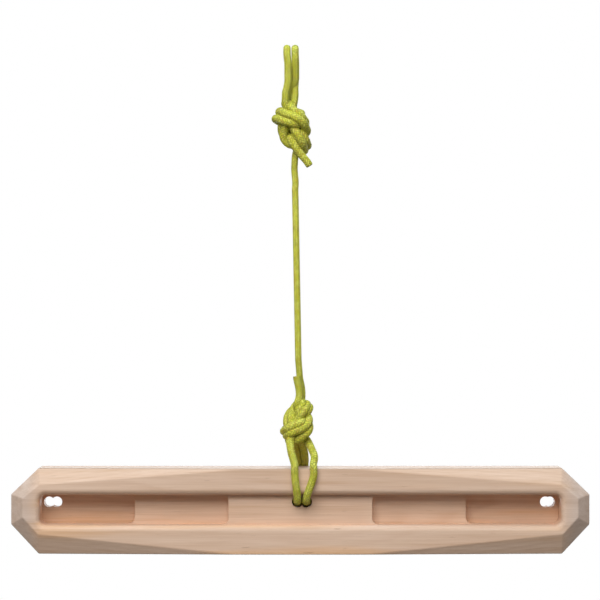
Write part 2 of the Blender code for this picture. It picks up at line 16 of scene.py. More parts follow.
import bmesh
import bpy
import numpy as np
from mathutils import Vector
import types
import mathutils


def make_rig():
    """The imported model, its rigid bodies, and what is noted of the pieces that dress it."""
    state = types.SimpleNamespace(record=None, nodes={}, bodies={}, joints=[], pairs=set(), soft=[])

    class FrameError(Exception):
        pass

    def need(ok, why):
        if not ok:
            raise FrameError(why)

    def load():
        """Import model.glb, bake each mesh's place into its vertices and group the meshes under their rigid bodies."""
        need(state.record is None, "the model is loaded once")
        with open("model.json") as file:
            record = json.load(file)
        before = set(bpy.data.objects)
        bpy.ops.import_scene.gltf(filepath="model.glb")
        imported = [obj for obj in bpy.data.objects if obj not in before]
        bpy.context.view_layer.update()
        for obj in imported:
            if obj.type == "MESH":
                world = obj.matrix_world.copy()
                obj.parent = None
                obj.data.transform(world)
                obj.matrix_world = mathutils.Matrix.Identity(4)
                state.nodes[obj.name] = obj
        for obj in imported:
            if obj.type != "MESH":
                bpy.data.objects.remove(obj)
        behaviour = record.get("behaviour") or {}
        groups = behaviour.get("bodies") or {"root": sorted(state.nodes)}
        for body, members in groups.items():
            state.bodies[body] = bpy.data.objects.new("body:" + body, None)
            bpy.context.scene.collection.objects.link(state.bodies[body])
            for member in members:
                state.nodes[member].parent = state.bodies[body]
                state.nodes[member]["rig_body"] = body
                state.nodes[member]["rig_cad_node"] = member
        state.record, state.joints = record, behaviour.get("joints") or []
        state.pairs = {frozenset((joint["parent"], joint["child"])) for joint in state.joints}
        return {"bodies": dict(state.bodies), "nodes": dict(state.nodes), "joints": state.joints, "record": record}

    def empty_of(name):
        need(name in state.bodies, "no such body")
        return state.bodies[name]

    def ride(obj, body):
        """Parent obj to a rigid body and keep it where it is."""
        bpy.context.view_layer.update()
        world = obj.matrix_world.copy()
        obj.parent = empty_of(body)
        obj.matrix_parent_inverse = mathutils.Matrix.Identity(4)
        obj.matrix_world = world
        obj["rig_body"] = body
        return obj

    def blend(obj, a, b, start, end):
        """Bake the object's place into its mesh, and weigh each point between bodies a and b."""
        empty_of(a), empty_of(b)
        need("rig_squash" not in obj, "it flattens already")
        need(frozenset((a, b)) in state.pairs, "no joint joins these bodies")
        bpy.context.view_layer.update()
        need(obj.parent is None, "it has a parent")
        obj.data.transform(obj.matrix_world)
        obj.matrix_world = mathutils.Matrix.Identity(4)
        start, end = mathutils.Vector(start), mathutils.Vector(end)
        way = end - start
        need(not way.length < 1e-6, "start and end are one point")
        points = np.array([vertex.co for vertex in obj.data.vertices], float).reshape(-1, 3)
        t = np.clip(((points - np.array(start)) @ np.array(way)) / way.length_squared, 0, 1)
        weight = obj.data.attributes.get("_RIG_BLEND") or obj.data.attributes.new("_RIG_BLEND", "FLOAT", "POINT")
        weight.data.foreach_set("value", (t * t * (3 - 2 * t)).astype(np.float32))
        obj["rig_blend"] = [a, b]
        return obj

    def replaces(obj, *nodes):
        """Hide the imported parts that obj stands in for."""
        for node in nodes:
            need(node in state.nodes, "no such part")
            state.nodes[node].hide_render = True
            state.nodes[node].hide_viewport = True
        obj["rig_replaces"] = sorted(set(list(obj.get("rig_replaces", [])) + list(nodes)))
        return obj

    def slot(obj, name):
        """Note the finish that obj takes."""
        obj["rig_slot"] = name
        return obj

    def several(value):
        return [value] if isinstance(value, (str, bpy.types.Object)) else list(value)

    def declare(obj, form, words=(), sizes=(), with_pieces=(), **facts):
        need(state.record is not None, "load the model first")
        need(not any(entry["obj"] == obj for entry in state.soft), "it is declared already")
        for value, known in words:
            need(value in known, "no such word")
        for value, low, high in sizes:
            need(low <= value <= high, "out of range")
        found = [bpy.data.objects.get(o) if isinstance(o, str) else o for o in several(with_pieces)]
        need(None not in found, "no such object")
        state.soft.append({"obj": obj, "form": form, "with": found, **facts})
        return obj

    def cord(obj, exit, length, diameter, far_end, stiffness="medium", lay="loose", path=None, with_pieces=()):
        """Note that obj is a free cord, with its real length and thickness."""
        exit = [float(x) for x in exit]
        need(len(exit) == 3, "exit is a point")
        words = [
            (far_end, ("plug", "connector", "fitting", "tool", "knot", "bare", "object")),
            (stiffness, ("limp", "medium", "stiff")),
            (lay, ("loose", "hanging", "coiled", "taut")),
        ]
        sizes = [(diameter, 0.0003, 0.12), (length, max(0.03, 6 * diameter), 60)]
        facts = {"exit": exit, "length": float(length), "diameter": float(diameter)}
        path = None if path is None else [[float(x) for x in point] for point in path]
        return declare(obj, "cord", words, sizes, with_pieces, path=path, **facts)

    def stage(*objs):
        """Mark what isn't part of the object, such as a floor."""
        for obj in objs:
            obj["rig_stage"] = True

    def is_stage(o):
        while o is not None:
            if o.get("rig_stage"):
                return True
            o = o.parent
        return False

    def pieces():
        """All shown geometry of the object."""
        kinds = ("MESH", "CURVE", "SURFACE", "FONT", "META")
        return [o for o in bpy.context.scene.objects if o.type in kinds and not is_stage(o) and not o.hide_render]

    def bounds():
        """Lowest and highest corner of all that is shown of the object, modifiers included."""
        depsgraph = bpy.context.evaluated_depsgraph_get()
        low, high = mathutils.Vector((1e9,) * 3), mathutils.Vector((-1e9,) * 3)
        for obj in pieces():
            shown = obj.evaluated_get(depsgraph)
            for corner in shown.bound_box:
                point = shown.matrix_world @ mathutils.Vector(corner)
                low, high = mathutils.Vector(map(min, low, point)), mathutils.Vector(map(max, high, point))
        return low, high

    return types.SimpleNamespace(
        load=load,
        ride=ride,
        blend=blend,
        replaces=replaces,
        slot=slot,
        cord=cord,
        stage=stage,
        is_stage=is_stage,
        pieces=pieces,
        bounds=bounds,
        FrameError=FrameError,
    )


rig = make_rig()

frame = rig.load()

LOG = logging.getLogger("hangboard")
SIZE_FILE = "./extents.json"
CURVE_STEPS = 16

Points = np.ndarray
Colour = tuple[float, float, float, float]


class Facing(Enum):
    """Which way the loops of a hitch point."""

    UP = 1
    DOWN = -1


class Lie(Enum):
    """How a stretch of cord lies."""

    HANGING = "hanging"
    TAUT = "taut"


class FarEnd(Enum):
    """What a stretch of cord ends in."""

    CUT = "bare"
    MORE_CORD = "object"


# Shader and geometry node helpers


class NodeBench:
    """Builds one node tree, a node at a time."""

    def __init__(self, tree: bpy.types.NodeTree) -> None:
        """Keeps the tree that the nodes go into.

        Args:
            tree: The shader or geometry tree.
        """
        self.tree = tree

    def add(self, kind: str, *inputs: object, **settings: object) -> bpy.types.Node:
        """Adds a node.

        Args:
            kind: The node's type name.
            inputs: For each input in order, a socket to link, a value, or None to leave it.
            settings: Properties of the node itself.

        Returns:
            The new node.
        """
        node = self.tree.nodes.new(kind)
        for name, value in settings.items():
            setattr(node, name, value)
        for socket, value in zip(node.inputs, inputs):
            self.feed(socket, value)
        return node

    def feed(self, socket: bpy.types.NodeSocket, value: object) -> None:
        """Links or sets one input socket.

        Args:
            socket: The input.
            value: A socket, a plain value, or None to leave it as it is.
        """
        if value is None:
            return
        if isinstance(value, bpy.types.NodeSocket):
            self.tree.links.new(value, socket)
            return
        socket.default_value = value

    def feed_named(self, node: bpy.types.Node, inputs: dict[str, object]) -> None:
        """Links or sets several inputs of one node.

        Args:
            node: The node.
            inputs: A socket or a plain value for each named input.
        """
        for name, value in inputs.items():
            self.feed(node.inputs[name], value)

    def add_named(
        self, kind: str, inputs: dict[str, object], **settings: object
    ) -> bpy.types.Node:
        """Adds a node and feeds its inputs by name.

        Args:
            kind: The node's type name.
            inputs: A socket or a plain value for each named input.
            settings: Properties of the node itself.

        Returns:
            The new node.
        """
        node = self.add(kind, **settings)
        self.feed_named(node, inputs)
        return node

    def math(self, operation: str, *values: object) -> bpy.types.NodeSocket:
        """Adds a Math node.

        Args:
            operation: The sum that it does.
            values: Its sockets or numbers.

        Returns:
            Its output.
        """
        return self.add("ShaderNodeMath", *values, operation=operation).outputs[0]

    def apart(self, first: object, second: object) -> bpy.types.NodeSocket:
        """How far apart two values are."""
        return self.math("ABSOLUTE", self.math("SUBTRACT", first, second))

    def diagonal(self, first: object, second: object) -> bpy.types.NodeSocket:
        """How long the diagonal between two sides is."""
        squares = [self.math("POWER", side, 2.0) for side in (first, second)]
        return self.math("SQRT", self.math("ADD", *squares))

    def ramp(
        self, value: object, low: float, high: float, start: float = 0.0, end: float = 1.0
    ) -> bpy.types.NodeSocket:
        """Maps a value smoothly and clamped from one range to another.

        Args:
            value: The socket to map.
            low: Where the range starts.
            high: Where the range ends.
            start: The result at low.
            end: The result at high.

        Returns:
            The mapped value.
        """
        node = self.add(
            "ShaderNodeMapRange", value, low, high, start, end, interpolation_type="SMOOTHSTEP")
        return node.outputs[0]

    def mix(self, share: object, first: object, second: object) -> bpy.types.NodeSocket:
        """Mixes two colours.

        Args:
            share: The second colour's share.
            first: A colour or its socket.
            second: A colour or its socket.

        Returns:
            The mixed colour.
        """
        node = self.add("ShaderNodeMix", data_type="RGBA")
        self.feed(node.inputs["Factor"], share)
        self.feed(node.inputs[6], first)
        self.feed(node.inputs[7], second)
        return node.outputs[2]

    def choose(self, share: object, chosen: object, other: object) -> bpy.types.NodeSocket:
        """Picks one of two values.

        Args:
            share: 1 for the first value, 0 for the second.
            chosen: The first value.
            other: The second value.

        Returns:
            The picked value.
        """
        node = self.add("ShaderNodeMix", share, data_type="FLOAT")
        self.feed(node.inputs[2], other)
        self.feed(node.inputs[3], chosen)
        return node.outputs[0]

    def noise(
        self, vector: object, scale: float, detail: float = 2.0, roughness: float = 0.5
    ) -> bpy.types.NodeSocket:
        """Adds a noise texture.

        Args:
            vector: Where it is read.
            scale: How fine it is.
            detail: How many octaves it has.
            roughness: How strong the finer octaves are.

        Returns:
            Its value.
        """
        node = self.add("ShaderNodeTexNoise", vector)
        self.feed_named(node, {"Scale": scale, "Detail": detail, "Roughness": roughness})
        return node.outputs[0]

    def streaks(
        self, place: object, lengthwise: float, across: float, detail: float = 2.0,
        roughness: float = 0.5,
    ) -> bpy.types.NodeSocket:
        """Adds noise that is drawn out along X.

        Args:
            place: Object coordinates.
            lengthwise: How fine it is along X.
            across: How fine it is the other two ways.
            detail: How many octaves it has.
            roughness: How strong the finer octaves are.

        Returns:
            Its value.
        """
        drawn = self.add("ShaderNodeMapping", place)
        drawn.inputs["Scale"].default_value = (lengthwise, across, across)
        return self.noise(drawn.outputs[0], 1.0, detail, roughness)

    def place(self) -> bpy.types.NodeSocket:
        """Adds object coordinates, which are the frame's own, as every piece is at the origin."""
        return self.add("ShaderNodeTexCoord").outputs["Object"]

    def split(self, vector: object) -> Sequence[bpy.types.NodeSocket]:
        """Splits a vector into its three numbers."""
        return self.add("ShaderNodeSeparateXYZ", vector).outputs

    def seen(self) -> bpy.types.NodeSocket:
        """Adds a value that is 1 for rays that show a surface and 0 for rays that light one."""
        rays = self.add("ShaderNodeLightPath").outputs
        seen = self.math("MAXIMUM", rays["Is Camera Ray"], rays["Is Glossy Ray"])
        return self.math("MAXIMUM", seen, rays["Is Transmission Ray"])


def new_material(name: str) -> tuple[bpy.types.Material, NodeBench, bpy.types.Node]:
    """Starts a material.

    Args:
        name: Its name.

    Returns:
        The material, a bench on its tree, and its Principled shader.
    """
    material = bpy.data.materials.new(name)
    material.use_nodes = True
    tree = material.node_tree
    return material, NodeBench(tree), tree.nodes["Principled BSDF"]


def new_piece(name: str, mesh: bpy.types.Mesh) -> bpy.types.Object:
    """Makes an object at the origin and links it to the scene.

    Args:
        name: The piece's name.
        mesh: Its mesh, in place.

    Returns:
        The object.
    """
    piece = bpy.data.objects.new(name, mesh)
    bpy.context.scene.collection.objects.link(piece)
    return piece


def piece_of(name: str, shape: bmesh.types.BMesh) -> bpy.types.Object:
    """Makes an object of a shape in the making, and frees the shape.

    Args:
        name: The piece's name.
        shape: Its shape, in place.

    Returns:
        The object.
    """
    mesh = bpy.data.meshes.new(name)
    shape.to_mesh(mesh)
    shape.free()
    return new_piece(name, mesh)


def made_plain(name: str, source: bpy.types.Object) -> bpy.types.Object:
    """Turns an object with modifiers into a plain piece and removes the first.

    Args:
        name: The piece's name.
        source: The object with its modifiers.

    Returns:
        The plain piece.
    """
    bpy.context.view_layer.update()
    graph = bpy.context.evaluated_depsgraph_get()
    mesh = bpy.data.meshes.new_from_object(
        source.evaluated_get(graph), preserve_all_data_layers=True, depsgraph=graph)
    mesh.name = name
    bpy.data.objects.remove(source, do_unlink=True)
    return new_piece(name, mesh)


# Finishes


@dataclass(frozen=True)
class HardwoodFinish:
    """Bare sanded pale hardwood, flat sawn, with its fibres along X and painted shade darkening its top edge."""

    early_wood: Colour = (0.750, 0.525, 0.380, 1.0)
    late_wood: Colour = (0.650, 0.420, 0.285, 1.0)
    honey: Colour = (0.800, 0.485, 0.275, 1.0)
    honey_share: float = 0.70
    fleck: Colour = (0.300, 0.160, 0.090, 1.0)
    dash_share: float = 0.22
    mark_share: float = 0.60
    end_grain: Colour = (0.640, 0.500, 0.415, 1.0)
    end_middle: float = 0.0085
    end_from: float = 0.240
    end_to: float = 0.258
    end_share: float = 0.75
    # Painted shade on the board's top face: its colour, the heights where it starts and ends, and its share.
    top_shade: Colour = (0.300, 0.200, 0.140, 1.0)
    top_shade_from: float = -0.3911
    top_shade_to: float = -0.3902
    top_shade_share: float = 0.50
    ring_width: float = 0.0017
    ring_slope: float = 0.006
    ring_drift: float = 0.012
    ring_ripple: float = 0.0006
    heart_y: float = 0.24
    heart_z: float = -0.43
    fibre_tone: float = 0.17
    streak_tone: float = 0.27
    mean_tone: float = 0.220
    roughness: float = 0.44
    fibre_roughness: float = 0.16
    fibre_relief: float = 0.6
    ring_relief: float = 0.5
    relief: float = 0.00012
    relief_strength: float = 0.35
    gloss: float = 0.10

    def rings(self, bench: NodeBench, place: bpy.types.NodeSocket) -> bpy.types.NodeSocket:
        """Growth rings, as the distance from a wavy heart line behind the board.

        Args:
            bench: The bench on the material's tree.
            place: Object coordinates.

        Returns:
            A value that rises from 0 to 1 through each year's growth.
        """
        along, behind, up = bench.split(place)
        away = bench.diagonal(
            bench.math("SUBTRACT", up, self.heart_z), bench.math("SUBTRACT", self.heart_y, behind))
        waves = (
            (bench.streaks(place, 3.0, 11.0), self.ring_drift),
            (bench.streaks(place, 14.0, 90.0), self.ring_ripple),
            (along, self.ring_slope),
        )
        for wave, reach in waves:
            away = bench.math("ADD", away, bench.math("MULTIPLY", wave, reach))
        return bench.math("FRACT", bench.math("DIVIDE", away, self.ring_width))

    def build(self, name: str) -> bpy.types.Material:
        """Builds the material.

        Args:
            name: Its name.

        Returns:
            The material.
        """
        material, bench, shader = new_material(name)
        place = bench.place()
        year = self.rings(bench, place)
        late = bench.math("MULTIPLY", bench.ramp(year, 0.20, 0.80), bench.ramp(year, 1.0, 0.72))
        patch = bench.streaks(place, 5.0, 26.0, 3.0)
        glow = bench.streaks(place, 4.0, 55.0)
        fibre = bench.streaks(place, 22.0, 950.0, 3.0, 0.6)
        streak = bench.streaks(place, 5.0, 210.0, 3.0, 0.55)
        dash = bench.streaks(place, 70.0, 1300.0, 1.0)
        mark = bench.streaks(place, 34.0, 230.0)
        across, _, up = bench.split(place)
        strength = bench.math("MULTIPLY", late, bench.ramp(patch, 0.30, 0.70, 0.15, 0.62))
        colour = bench.mix(strength, self.early_wood, self.late_wood)
        glowing = bench.ramp(glow, 0.50, 0.72, 0.0, self.honey_share)
        colour = bench.mix(glowing, colour, self.honey)
        outwards = bench.apart(across, self.end_middle)
        ends = bench.ramp(outwards, self.end_from, self.end_to, 0.0, self.end_share)
        colour = bench.mix(ends, colour, self.end_grain)
        tone = bench.math("MULTIPLY", streak, self.streak_tone)
        tone = bench.math("MULTIPLY_ADD", fibre, self.fibre_tone, tone)
        grey = bench.add("ShaderNodeBrightContrast", colour)
        bench.feed_named(grey, {"Bright": bench.math("SUBTRACT", tone, self.mean_tone)})
        dashes = bench.ramp(dash, 0.70, 0.80, 0.0, self.dash_share)
        marks = bench.ramp(mark, 0.77, 0.82, 0.0, self.mark_share)
        colour = bench.mix(bench.math("MAXIMUM", dashes, marks), grey.outputs[0], self.fleck)
        # Painted shade: the colour of the board's top face is darkened, standing in for less light on it.
        top_shaded = bench.ramp(up, self.top_shade_from, self.top_shade_to, 0.0, self.top_shade_share)
        colour = bench.mix(top_shaded, colour, self.top_shade)
        bump = bench.add_named("ShaderNodeBump", {
            "Strength": self.relief_strength, "Distance": self.relief,
            "Height": bench.math(
                "ADD", bench.math("MULTIPLY", fibre, self.fibre_relief),
                bench.math("MULTIPLY", late, self.ring_relief))})
        bench.feed_named(shader, {
            "Base Color": colour, "Normal": bump.outputs[0], "Specular IOR Level": self.gloss,
            "Roughness": bench.math(
                "MULTIPLY_ADD", fibre, self.fibre_roughness, self.roughness)})
        return material


@dataclass(frozen=True)
class WovenFinish:
    """A round woven sheath: two sets of yarns, each over two and under two of the other set.

    The weave is calmer in the knots, painted shade darkens the gaps between its yarns and the knots, and it is darker
    wherever the cord is slack.
    """

    yarn: Colour = (0.830, 0.810, 0.066, 1.0)
    pale_yarn: Colour = (0.940, 0.920, 0.150, 1.0)
    worn_share: float = 0.22
    worn_scale: float = 140.0
    warm_yarn: Colour = (0.620, 0.330, 0.045, 1.0)
    warm_from: float = 0.86
    warm_share: float = 0.45
    # Painted shade colour for the gaps between yarns, the knots and slack cord, and also the colour of dull yarns.
    shade_and_dull: Colour = (0.045, 0.060, 0.006, 1.0)
    dull_to: float = 0.26
    dull_share: float = 0.28
    gap_shade_share: float = 0.74
    melted: Colour = (0.260, 0.280, 0.040, 1.0)
    melted_gloss: float = 0.30
    yarns_each_way: int = 8
    yarn_spacing: float = 0.00250
    other_set: float = 71.0
    relief: float = 0.00034
    relief_strength: float = 0.9
    fuzz: float = 0.25
    fuzz_scale: float = 2600.0
    roughness: float = 0.72
    gloss: float = 0.2
    sheen: float = 0.04
    sheen_roughness: float = 0.5
    knot_middles: tuple[float, float] = (-0.076, -0.347)
    knot_half: float = 0.026
    knot_calm: float = 0.42
    knot_shade: float = 0.10
    line_middle: float = -0.200
    slack_from: float = 0.086
    slack_shade: float = 0.155
    fade: float = 0.004

    def weave(self, bench: NodeBench) -> tuple[bpy.types.NodeSocket, ...]:
        """Lays the two sets of yarns over and under each other.

        Args:
            bench: The bench on the material's tree.

        Returns:
            The number of the yarn on top, the crossing's two numbers as a vector, and the height.
        """
        reading = bench.add("ShaderNodeAttribute", attribute_name="weave").outputs["Vector"]
        parts = bench.split(reading)
        angle = bench.math("ARCTAN2", parts[1], parts[0])
        around = bench.math("MULTIPLY", angle, self.yarns_each_way / (2.0 * math.pi))
        along = bench.math("DIVIDE", parts[2], self.yarn_spacing)
        sets = (bench.math("ADD", around, along), bench.math("SUBTRACT", around, along))
        right, left = (bench.math("FLOOR", value) for value in sets)
        right_place, left_place = (bench.math("FRACT", value) for value in sets)
        turn = bench.math("FLOORED_MODULO", bench.math("ADD", right, left), 4.0)
        right_on_top = bench.math("LESS_THAN", turn, 1.5)
        number = bench.choose(right_on_top, right, bench.math("ADD", left, self.other_set))
        cross = bench.choose(right_on_top, right_place, left_place)
        lengthwise = bench.choose(right_on_top, left_place, right_place)
        first_half = bench.math("FLOORED_MODULO", turn, 2.0)
        float_place = bench.math("MULTIPLY", bench.math("ADD", lengthwise, first_half), 0.5)
        hump, float_hump = (
            bench.math("SINE", bench.math("MULTIPLY", value, math.pi))
            for value in (cross, float_place))
        height = bench.math("MULTIPLY", hump, bench.math("POWER", float_hump, 0.5))
        return number, bench.add("ShaderNodeCombineXYZ", right, left).outputs[0], height

    def in_knots(self, bench: NodeBench, up: bpy.types.NodeSocket) -> bpy.types.NodeSocket:
        """Where the sheath is drawn smooth by a knot.

        Args:
            bench: The bench on the material's tree.
            up: The height in the frame.

        Returns:
            1 in either knot and 0 outside them.
        """
        outer, inner = self.knot_half + self.fade, self.knot_half - self.fade
        shares = [bench.ramp(bench.apart(up, middle), outer, inner) for middle in self.knot_middles]
        return bench.math("MAXIMUM", *shares)

    def build(self, name: str) -> bpy.types.Material:
        """Builds the material, which reads the weave and tip attributes of a cord piece.

        Args:
            name: Its name.

        Returns:
            The material.
        """
        material, bench, shader = new_material(name)
        number, cell, height = self.weave(bench)
        place = bench.place()
        up = bench.split(place)[2]
        knotted = self.in_knots(bench, up)
        plain = bench.math("MULTIPLY_ADD", knotted, -self.knot_calm, 1.0)
        chance = bench.add_named(
            "ShaderNodeTexWhiteNoise", {"W": number}, noise_dimensions="1D").outputs["Value"]
        spot = bench.add_named(
            "ShaderNodeTexWhiteNoise", {"Vector": cell}, noise_dimensions="2D").outputs["Value"]
        worn = bench.noise(place, self.worn_scale)
        slack = bench.ramp(
            bench.apart(up, self.line_middle), self.slack_from - self.fade,
            self.slack_from + self.fade, 0.0, self.slack_shade)
        tip = bench.add("ShaderNodeAttribute", attribute_name="tip").outputs["Fac"]
        sealed = bench.ramp(tip, 0.55, 0.95)
        warm = bench.math("GREATER_THAN", spot, self.warm_from)
        dull = bench.math("LESS_THAN", spot, self.dull_to)
        # Painted shade: the low gaps between the yarns are darkened in colour.
        gap_shade = bench.ramp(height, 0.60, 0.22, 0.0, self.gap_shade_share)
        coats = (
            (bench.ramp(chance, 0.2, 0.9), self.pale_yarn),
            (bench.math("MULTIPLY", warm, self.warm_share), self.warm_yarn),
            (bench.math("MULTIPLY", dull, self.dull_share), self.shade_and_dull),
            (bench.math("MULTIPLY", gap_shade, plain), self.shade_and_dull),
            (bench.ramp(worn, 0.35, 0.75, 0.0, self.worn_share), self.pale_yarn),
            # Painted shade in the knots, and a darker weave wherever the cord is slack.
            (bench.math("MULTIPLY_ADD", knotted, self.knot_shade, slack), self.shade_and_dull),
            (sealed, self.melted),
        )
        colour: object = self.yarn
        for share, coat in coats:
            colour = bench.mix(share, colour, coat)
        fuzz = bench.math("MULTIPLY", bench.noise(place, self.fuzz_scale), self.fuzz)
        bump = bench.add_named("ShaderNodeBump", {
            "Strength": bench.math("MULTIPLY", plain, self.relief_strength),
            "Distance": self.relief, "Height": bench.math("ADD", height, fuzz)})
        bench.feed_named(shader, {
            "Base Color": colour, "Normal": bump.outputs[0], "Specular IOR Level": self.gloss,
            "Roughness": bench.math(
                "MULTIPLY_ADD", sealed, -self.melted_gloss, self.roughness),
            "Sheen Weight": self.sheen, "Sheen Roughness": self.sheen_roughness})
        return material


@dataclass(frozen=True)
class BackdropFinish:
    """A pale floor that fades to plain white away from the board and throws little light back."""

    colour: Colour = (0.97, 0.94, 0.90, 1.0)
    bounce: Colour = (0.14, 0.14, 0.14, 1.0)
    glow: float = 0.16
    near: float = 0.50
    far: float = 1.40
    roughness: float = 0.9
    gloss: float = 0.1

    def build(self, name: str) -> bpy.types.Material:
        """Builds the material.

        Args:
            name: Its name.

        Returns:
            The material.
        """
        material, bench, shader = new_material(name)
        seen = bench.seen()
        across, deep, _ = bench.split(bench.place())
        glow = bench.ramp(bench.diagonal(across, deep), self.near, self.far, self.glow, 1.0)
        bench.feed_named(shader, {
            "Base Color": bench.mix(seen, self.bounce, self.colour),
            "Emission Color": (1.0, 1.0, 1.0, 1.0),
            "Emission Strength": bench.math("MULTIPLY", seen, glow),
            "Roughness": self.roughness, "Specular IOR Level": self.gloss})
        return material


# Board


@dataclass
class GripBoard:
    """The faceted board with its stepped grip slot and its double holes."""

    finish: HardwoodFinish = field(default_factory=HardwoodFinish)
    length: float = 0.540
    height: float = 0.080
    thickness: float = 0.045
    centre_x: float = 0.0085
    centre_z: float = -0.430
    front_y: float = -0.0252
    facet_depth: float = 0.010
    corner_cut_length: float = 0.0257
    upper_corner_cut_height: float = 0.0245
    lower_corner_cut_height: float = 0.0275
    tip_facet_width: float = 0.0115
    tip_facet_top_drop: float = 0.0032
    tip_facet_bottom_rise: float = 0.0072
    upper_crest_inset: float = 0.0275
    upper_crest_drop: float = 0.015
    lower_crest_inset: float = 0.0257
    lower_crest_rise: float = 0.019
    upper_sliver_start: float = 0.047
    lower_sliver_start: float = 0.060
    slot_end_margin: float = 0.027
    slot_height: float = 0.0284
    slot_raise: float = 0.0012
    slot_corner_radius: float = 0.006
    slot_lip_radius: float = 0.0055
    centre_pocket_half_length: float = 0.067
    mid_pocket_length: float = 0.088
    centre_pocket_depth: float = 0.010
    mid_pocket_depth: float = 0.020
    deep_pocket_depth: float = 0.030
    pocket_step_inset: float = 0.00015
    hole_radius: float = 0.0053
    end_hole_radius: float = 0.0050
    hole_raise: float = 0.007
    centre_hole_lift: float = 0.0016
    end_hole_margin: float = 0.0374
    left_hole_spacing: float = 0.0072
    right_hole_spacing: float = 0.0042
    centre_hole_spacing: float = 0.0082
    centre_hole_shift: float = 0.0015
    edge_softening: float = 0.0009
    softening_steps: int = 3
    flat_angle: float = 2.0
    facet_angle: float = 12.0
    smooth_angle: float = 32.0
    hole_sides: int = 56

    @property
    def back_y(self) -> float:
        """Where the board's back is."""
        return self.front_y + self.thickness

    @property
    def top_z(self) -> float:
        """Height of the board's upper edge."""
        return self.centre_z + self.height / 2

    @property
    def centre_hole_z(self) -> float:
        """The height of the centre holes' axes."""
        return self.centre_z + self.hole_raise + self.centre_hole_lift

    @property
    def hole_xs(self) -> tuple[float, float]:
        """Where the two drillings of the centre double hole are."""
        middle = self.centre_x + self.centre_hole_shift
        return middle - self.centre_hole_spacing / 2, middle + self.centre_hole_spacing / 2

    def point(self, x: float, depth: float, z: float) -> Vector:
        """Places a point given from the board's middle and from its gripping face.

        Args:
            x: Along the board from its middle.
            depth: Behind the gripping face.
            z: Above the board's middle.

        Returns:
            The point in the frame.
        """
        return Vector((self.centre_x + x, self.front_y + depth, self.centre_z + z))

    def front_corners(self) -> list[tuple[float, float]]:
        """Right half of the gripping face's outline, from the top down."""
        half, top, bottom = self.length / 2, self.height / 2, -self.height / 2
        tip = half - self.tip_facet_width
        return [
            (self.upper_sliver_start, top),
            (half - self.upper_crest_inset, top - self.upper_crest_drop),
            (tip, top - self.upper_corner_cut_height - self.tip_facet_top_drop),
            (tip, bottom + self.lower_corner_cut_height + self.tip_facet_bottom_rise),
            (half - self.lower_crest_inset, bottom + self.lower_crest_rise),
            (self.lower_sliver_start, bottom),
        ]

    def outer_corners(self) -> list[tuple[float, float]]:
        """Right half of the outline behind the facets, from the top down."""
        half, top, bottom = self.length / 2, self.height / 2, -self.height / 2
        return [
            (half - self.corner_cut_length, top),
            (half, top - self.upper_corner_cut_height),
            (half, bottom + self.lower_corner_cut_height),
            (half - self.corner_cut_length, bottom),
        ]

    def blank(self) -> bpy.types.Object:
        """Makes the faceted blank with softened edges.

        Returns:
            The blank, with its modifier live.
        """
        mesh = bmesh.new()
        rings = (
            (self.front_corners(), 0.0),
            (self.outer_corners(), self.facet_depth),
            (self.outer_corners(), self.thickness),
        )
        for corners, depth in rings:
            for x, z in corners:
                for side in (-1, 1):
                    mesh.verts.new(self.point(side * x, depth, z))
        bmesh.ops.convex_hull(mesh, input=mesh.verts)
        bmesh.ops.dissolve_limit(
            mesh, angle_limit=math.radians(self.flat_angle), verts=mesh.verts, edges=mesh.edges)
        bmesh.ops.recalc_face_normals(mesh, faces=mesh.faces)
        board = piece_of("board_blank", mesh)
        soften = board.modifiers.new("softened_edges", "BEVEL")
        soften.width = self.edge_softening
        soften.segments = self.softening_steps
        soften.limit_method = "ANGLE"
        soften.angle_limit = math.radians(self.facet_angle)
        return board

    def outline(
        self, half_x: float, half_z: float, radius: float, steps: int = 10
    ) -> list[tuple[float, float]]:
        """Corner points of a rounded rectangle, anticlockwise.

        Args:
            half_x: Half its length.
            half_z: Half its height.
            radius: Its corners' radius.
            steps: Steps in each corner.

        Returns:
            The points.
        """
        points = []
        for quarter, (sign_x, sign_z) in enumerate(((1, 1), (-1, 1), (-1, -1), (1, -1))):
            for step in range(steps + 1):
                angle = math.radians(90.0 * (quarter + step / steps))
                points.append((
                    sign_x * (half_x - radius) + radius * math.cos(angle),
                    sign_z * (half_z - radius) + radius * math.sin(angle),
                ))
        return points

    def pocket_cutter(
        self, name: str, centre_x: float, half_x: float, half_z: float,
        sections: Sequence[tuple[float, float]],
    ) -> bpy.types.Object:
        """Makes a cutter whose rounded outline grows by an offset at each depth.

        Args:
            name: Its name.
            centre_x: Its middle along the board.
            half_x: Half its length.
            half_z: Half its height.
            sections: Depth and offset of each section.

        Returns:
            The cutter.
        """
        mesh = bmesh.new()
        loops = []
        for depth, offset in sections:
            outline = self.outline(
                half_x + offset, half_z + offset, self.slot_corner_radius + offset)
            loops.append([
                mesh.verts.new(self.point(centre_x + x, depth, self.slot_raise + z))
                for x, z in outline])
        for near, far in zip(loops, loops[1:]):
            for index in range(len(near)):
                after = (index + 1) % len(near)
                mesh.faces.new((near[index], near[after], far[after], far[index]))
        mesh.faces.new(loops[0])
        mesh.faces.new(loops[-1])
        bmesh.ops.recalc_face_normals(mesh, faces=mesh.faces)
        return piece_of(name, mesh)

    def lip_sections(self, depth: float, steps: int = 12) -> list[tuple[float, float]]:
        """Depths and offsets that leave a rounded lip and then run straight.

        Args:
            depth: Where the cutter ends.
            steps: Steps round the lip.

        Returns:
            The sections.
        """
        radius = self.slot_lip_radius
        sections = [(-radius, radius)]
        for step in range(steps + 1):
            angle = math.radians(90.0 * step / steps)
            sections.append((radius * (1 - math.cos(angle)), radius * (1 - math.sin(angle))))
        sections.append((depth, 0.0))
        return sections

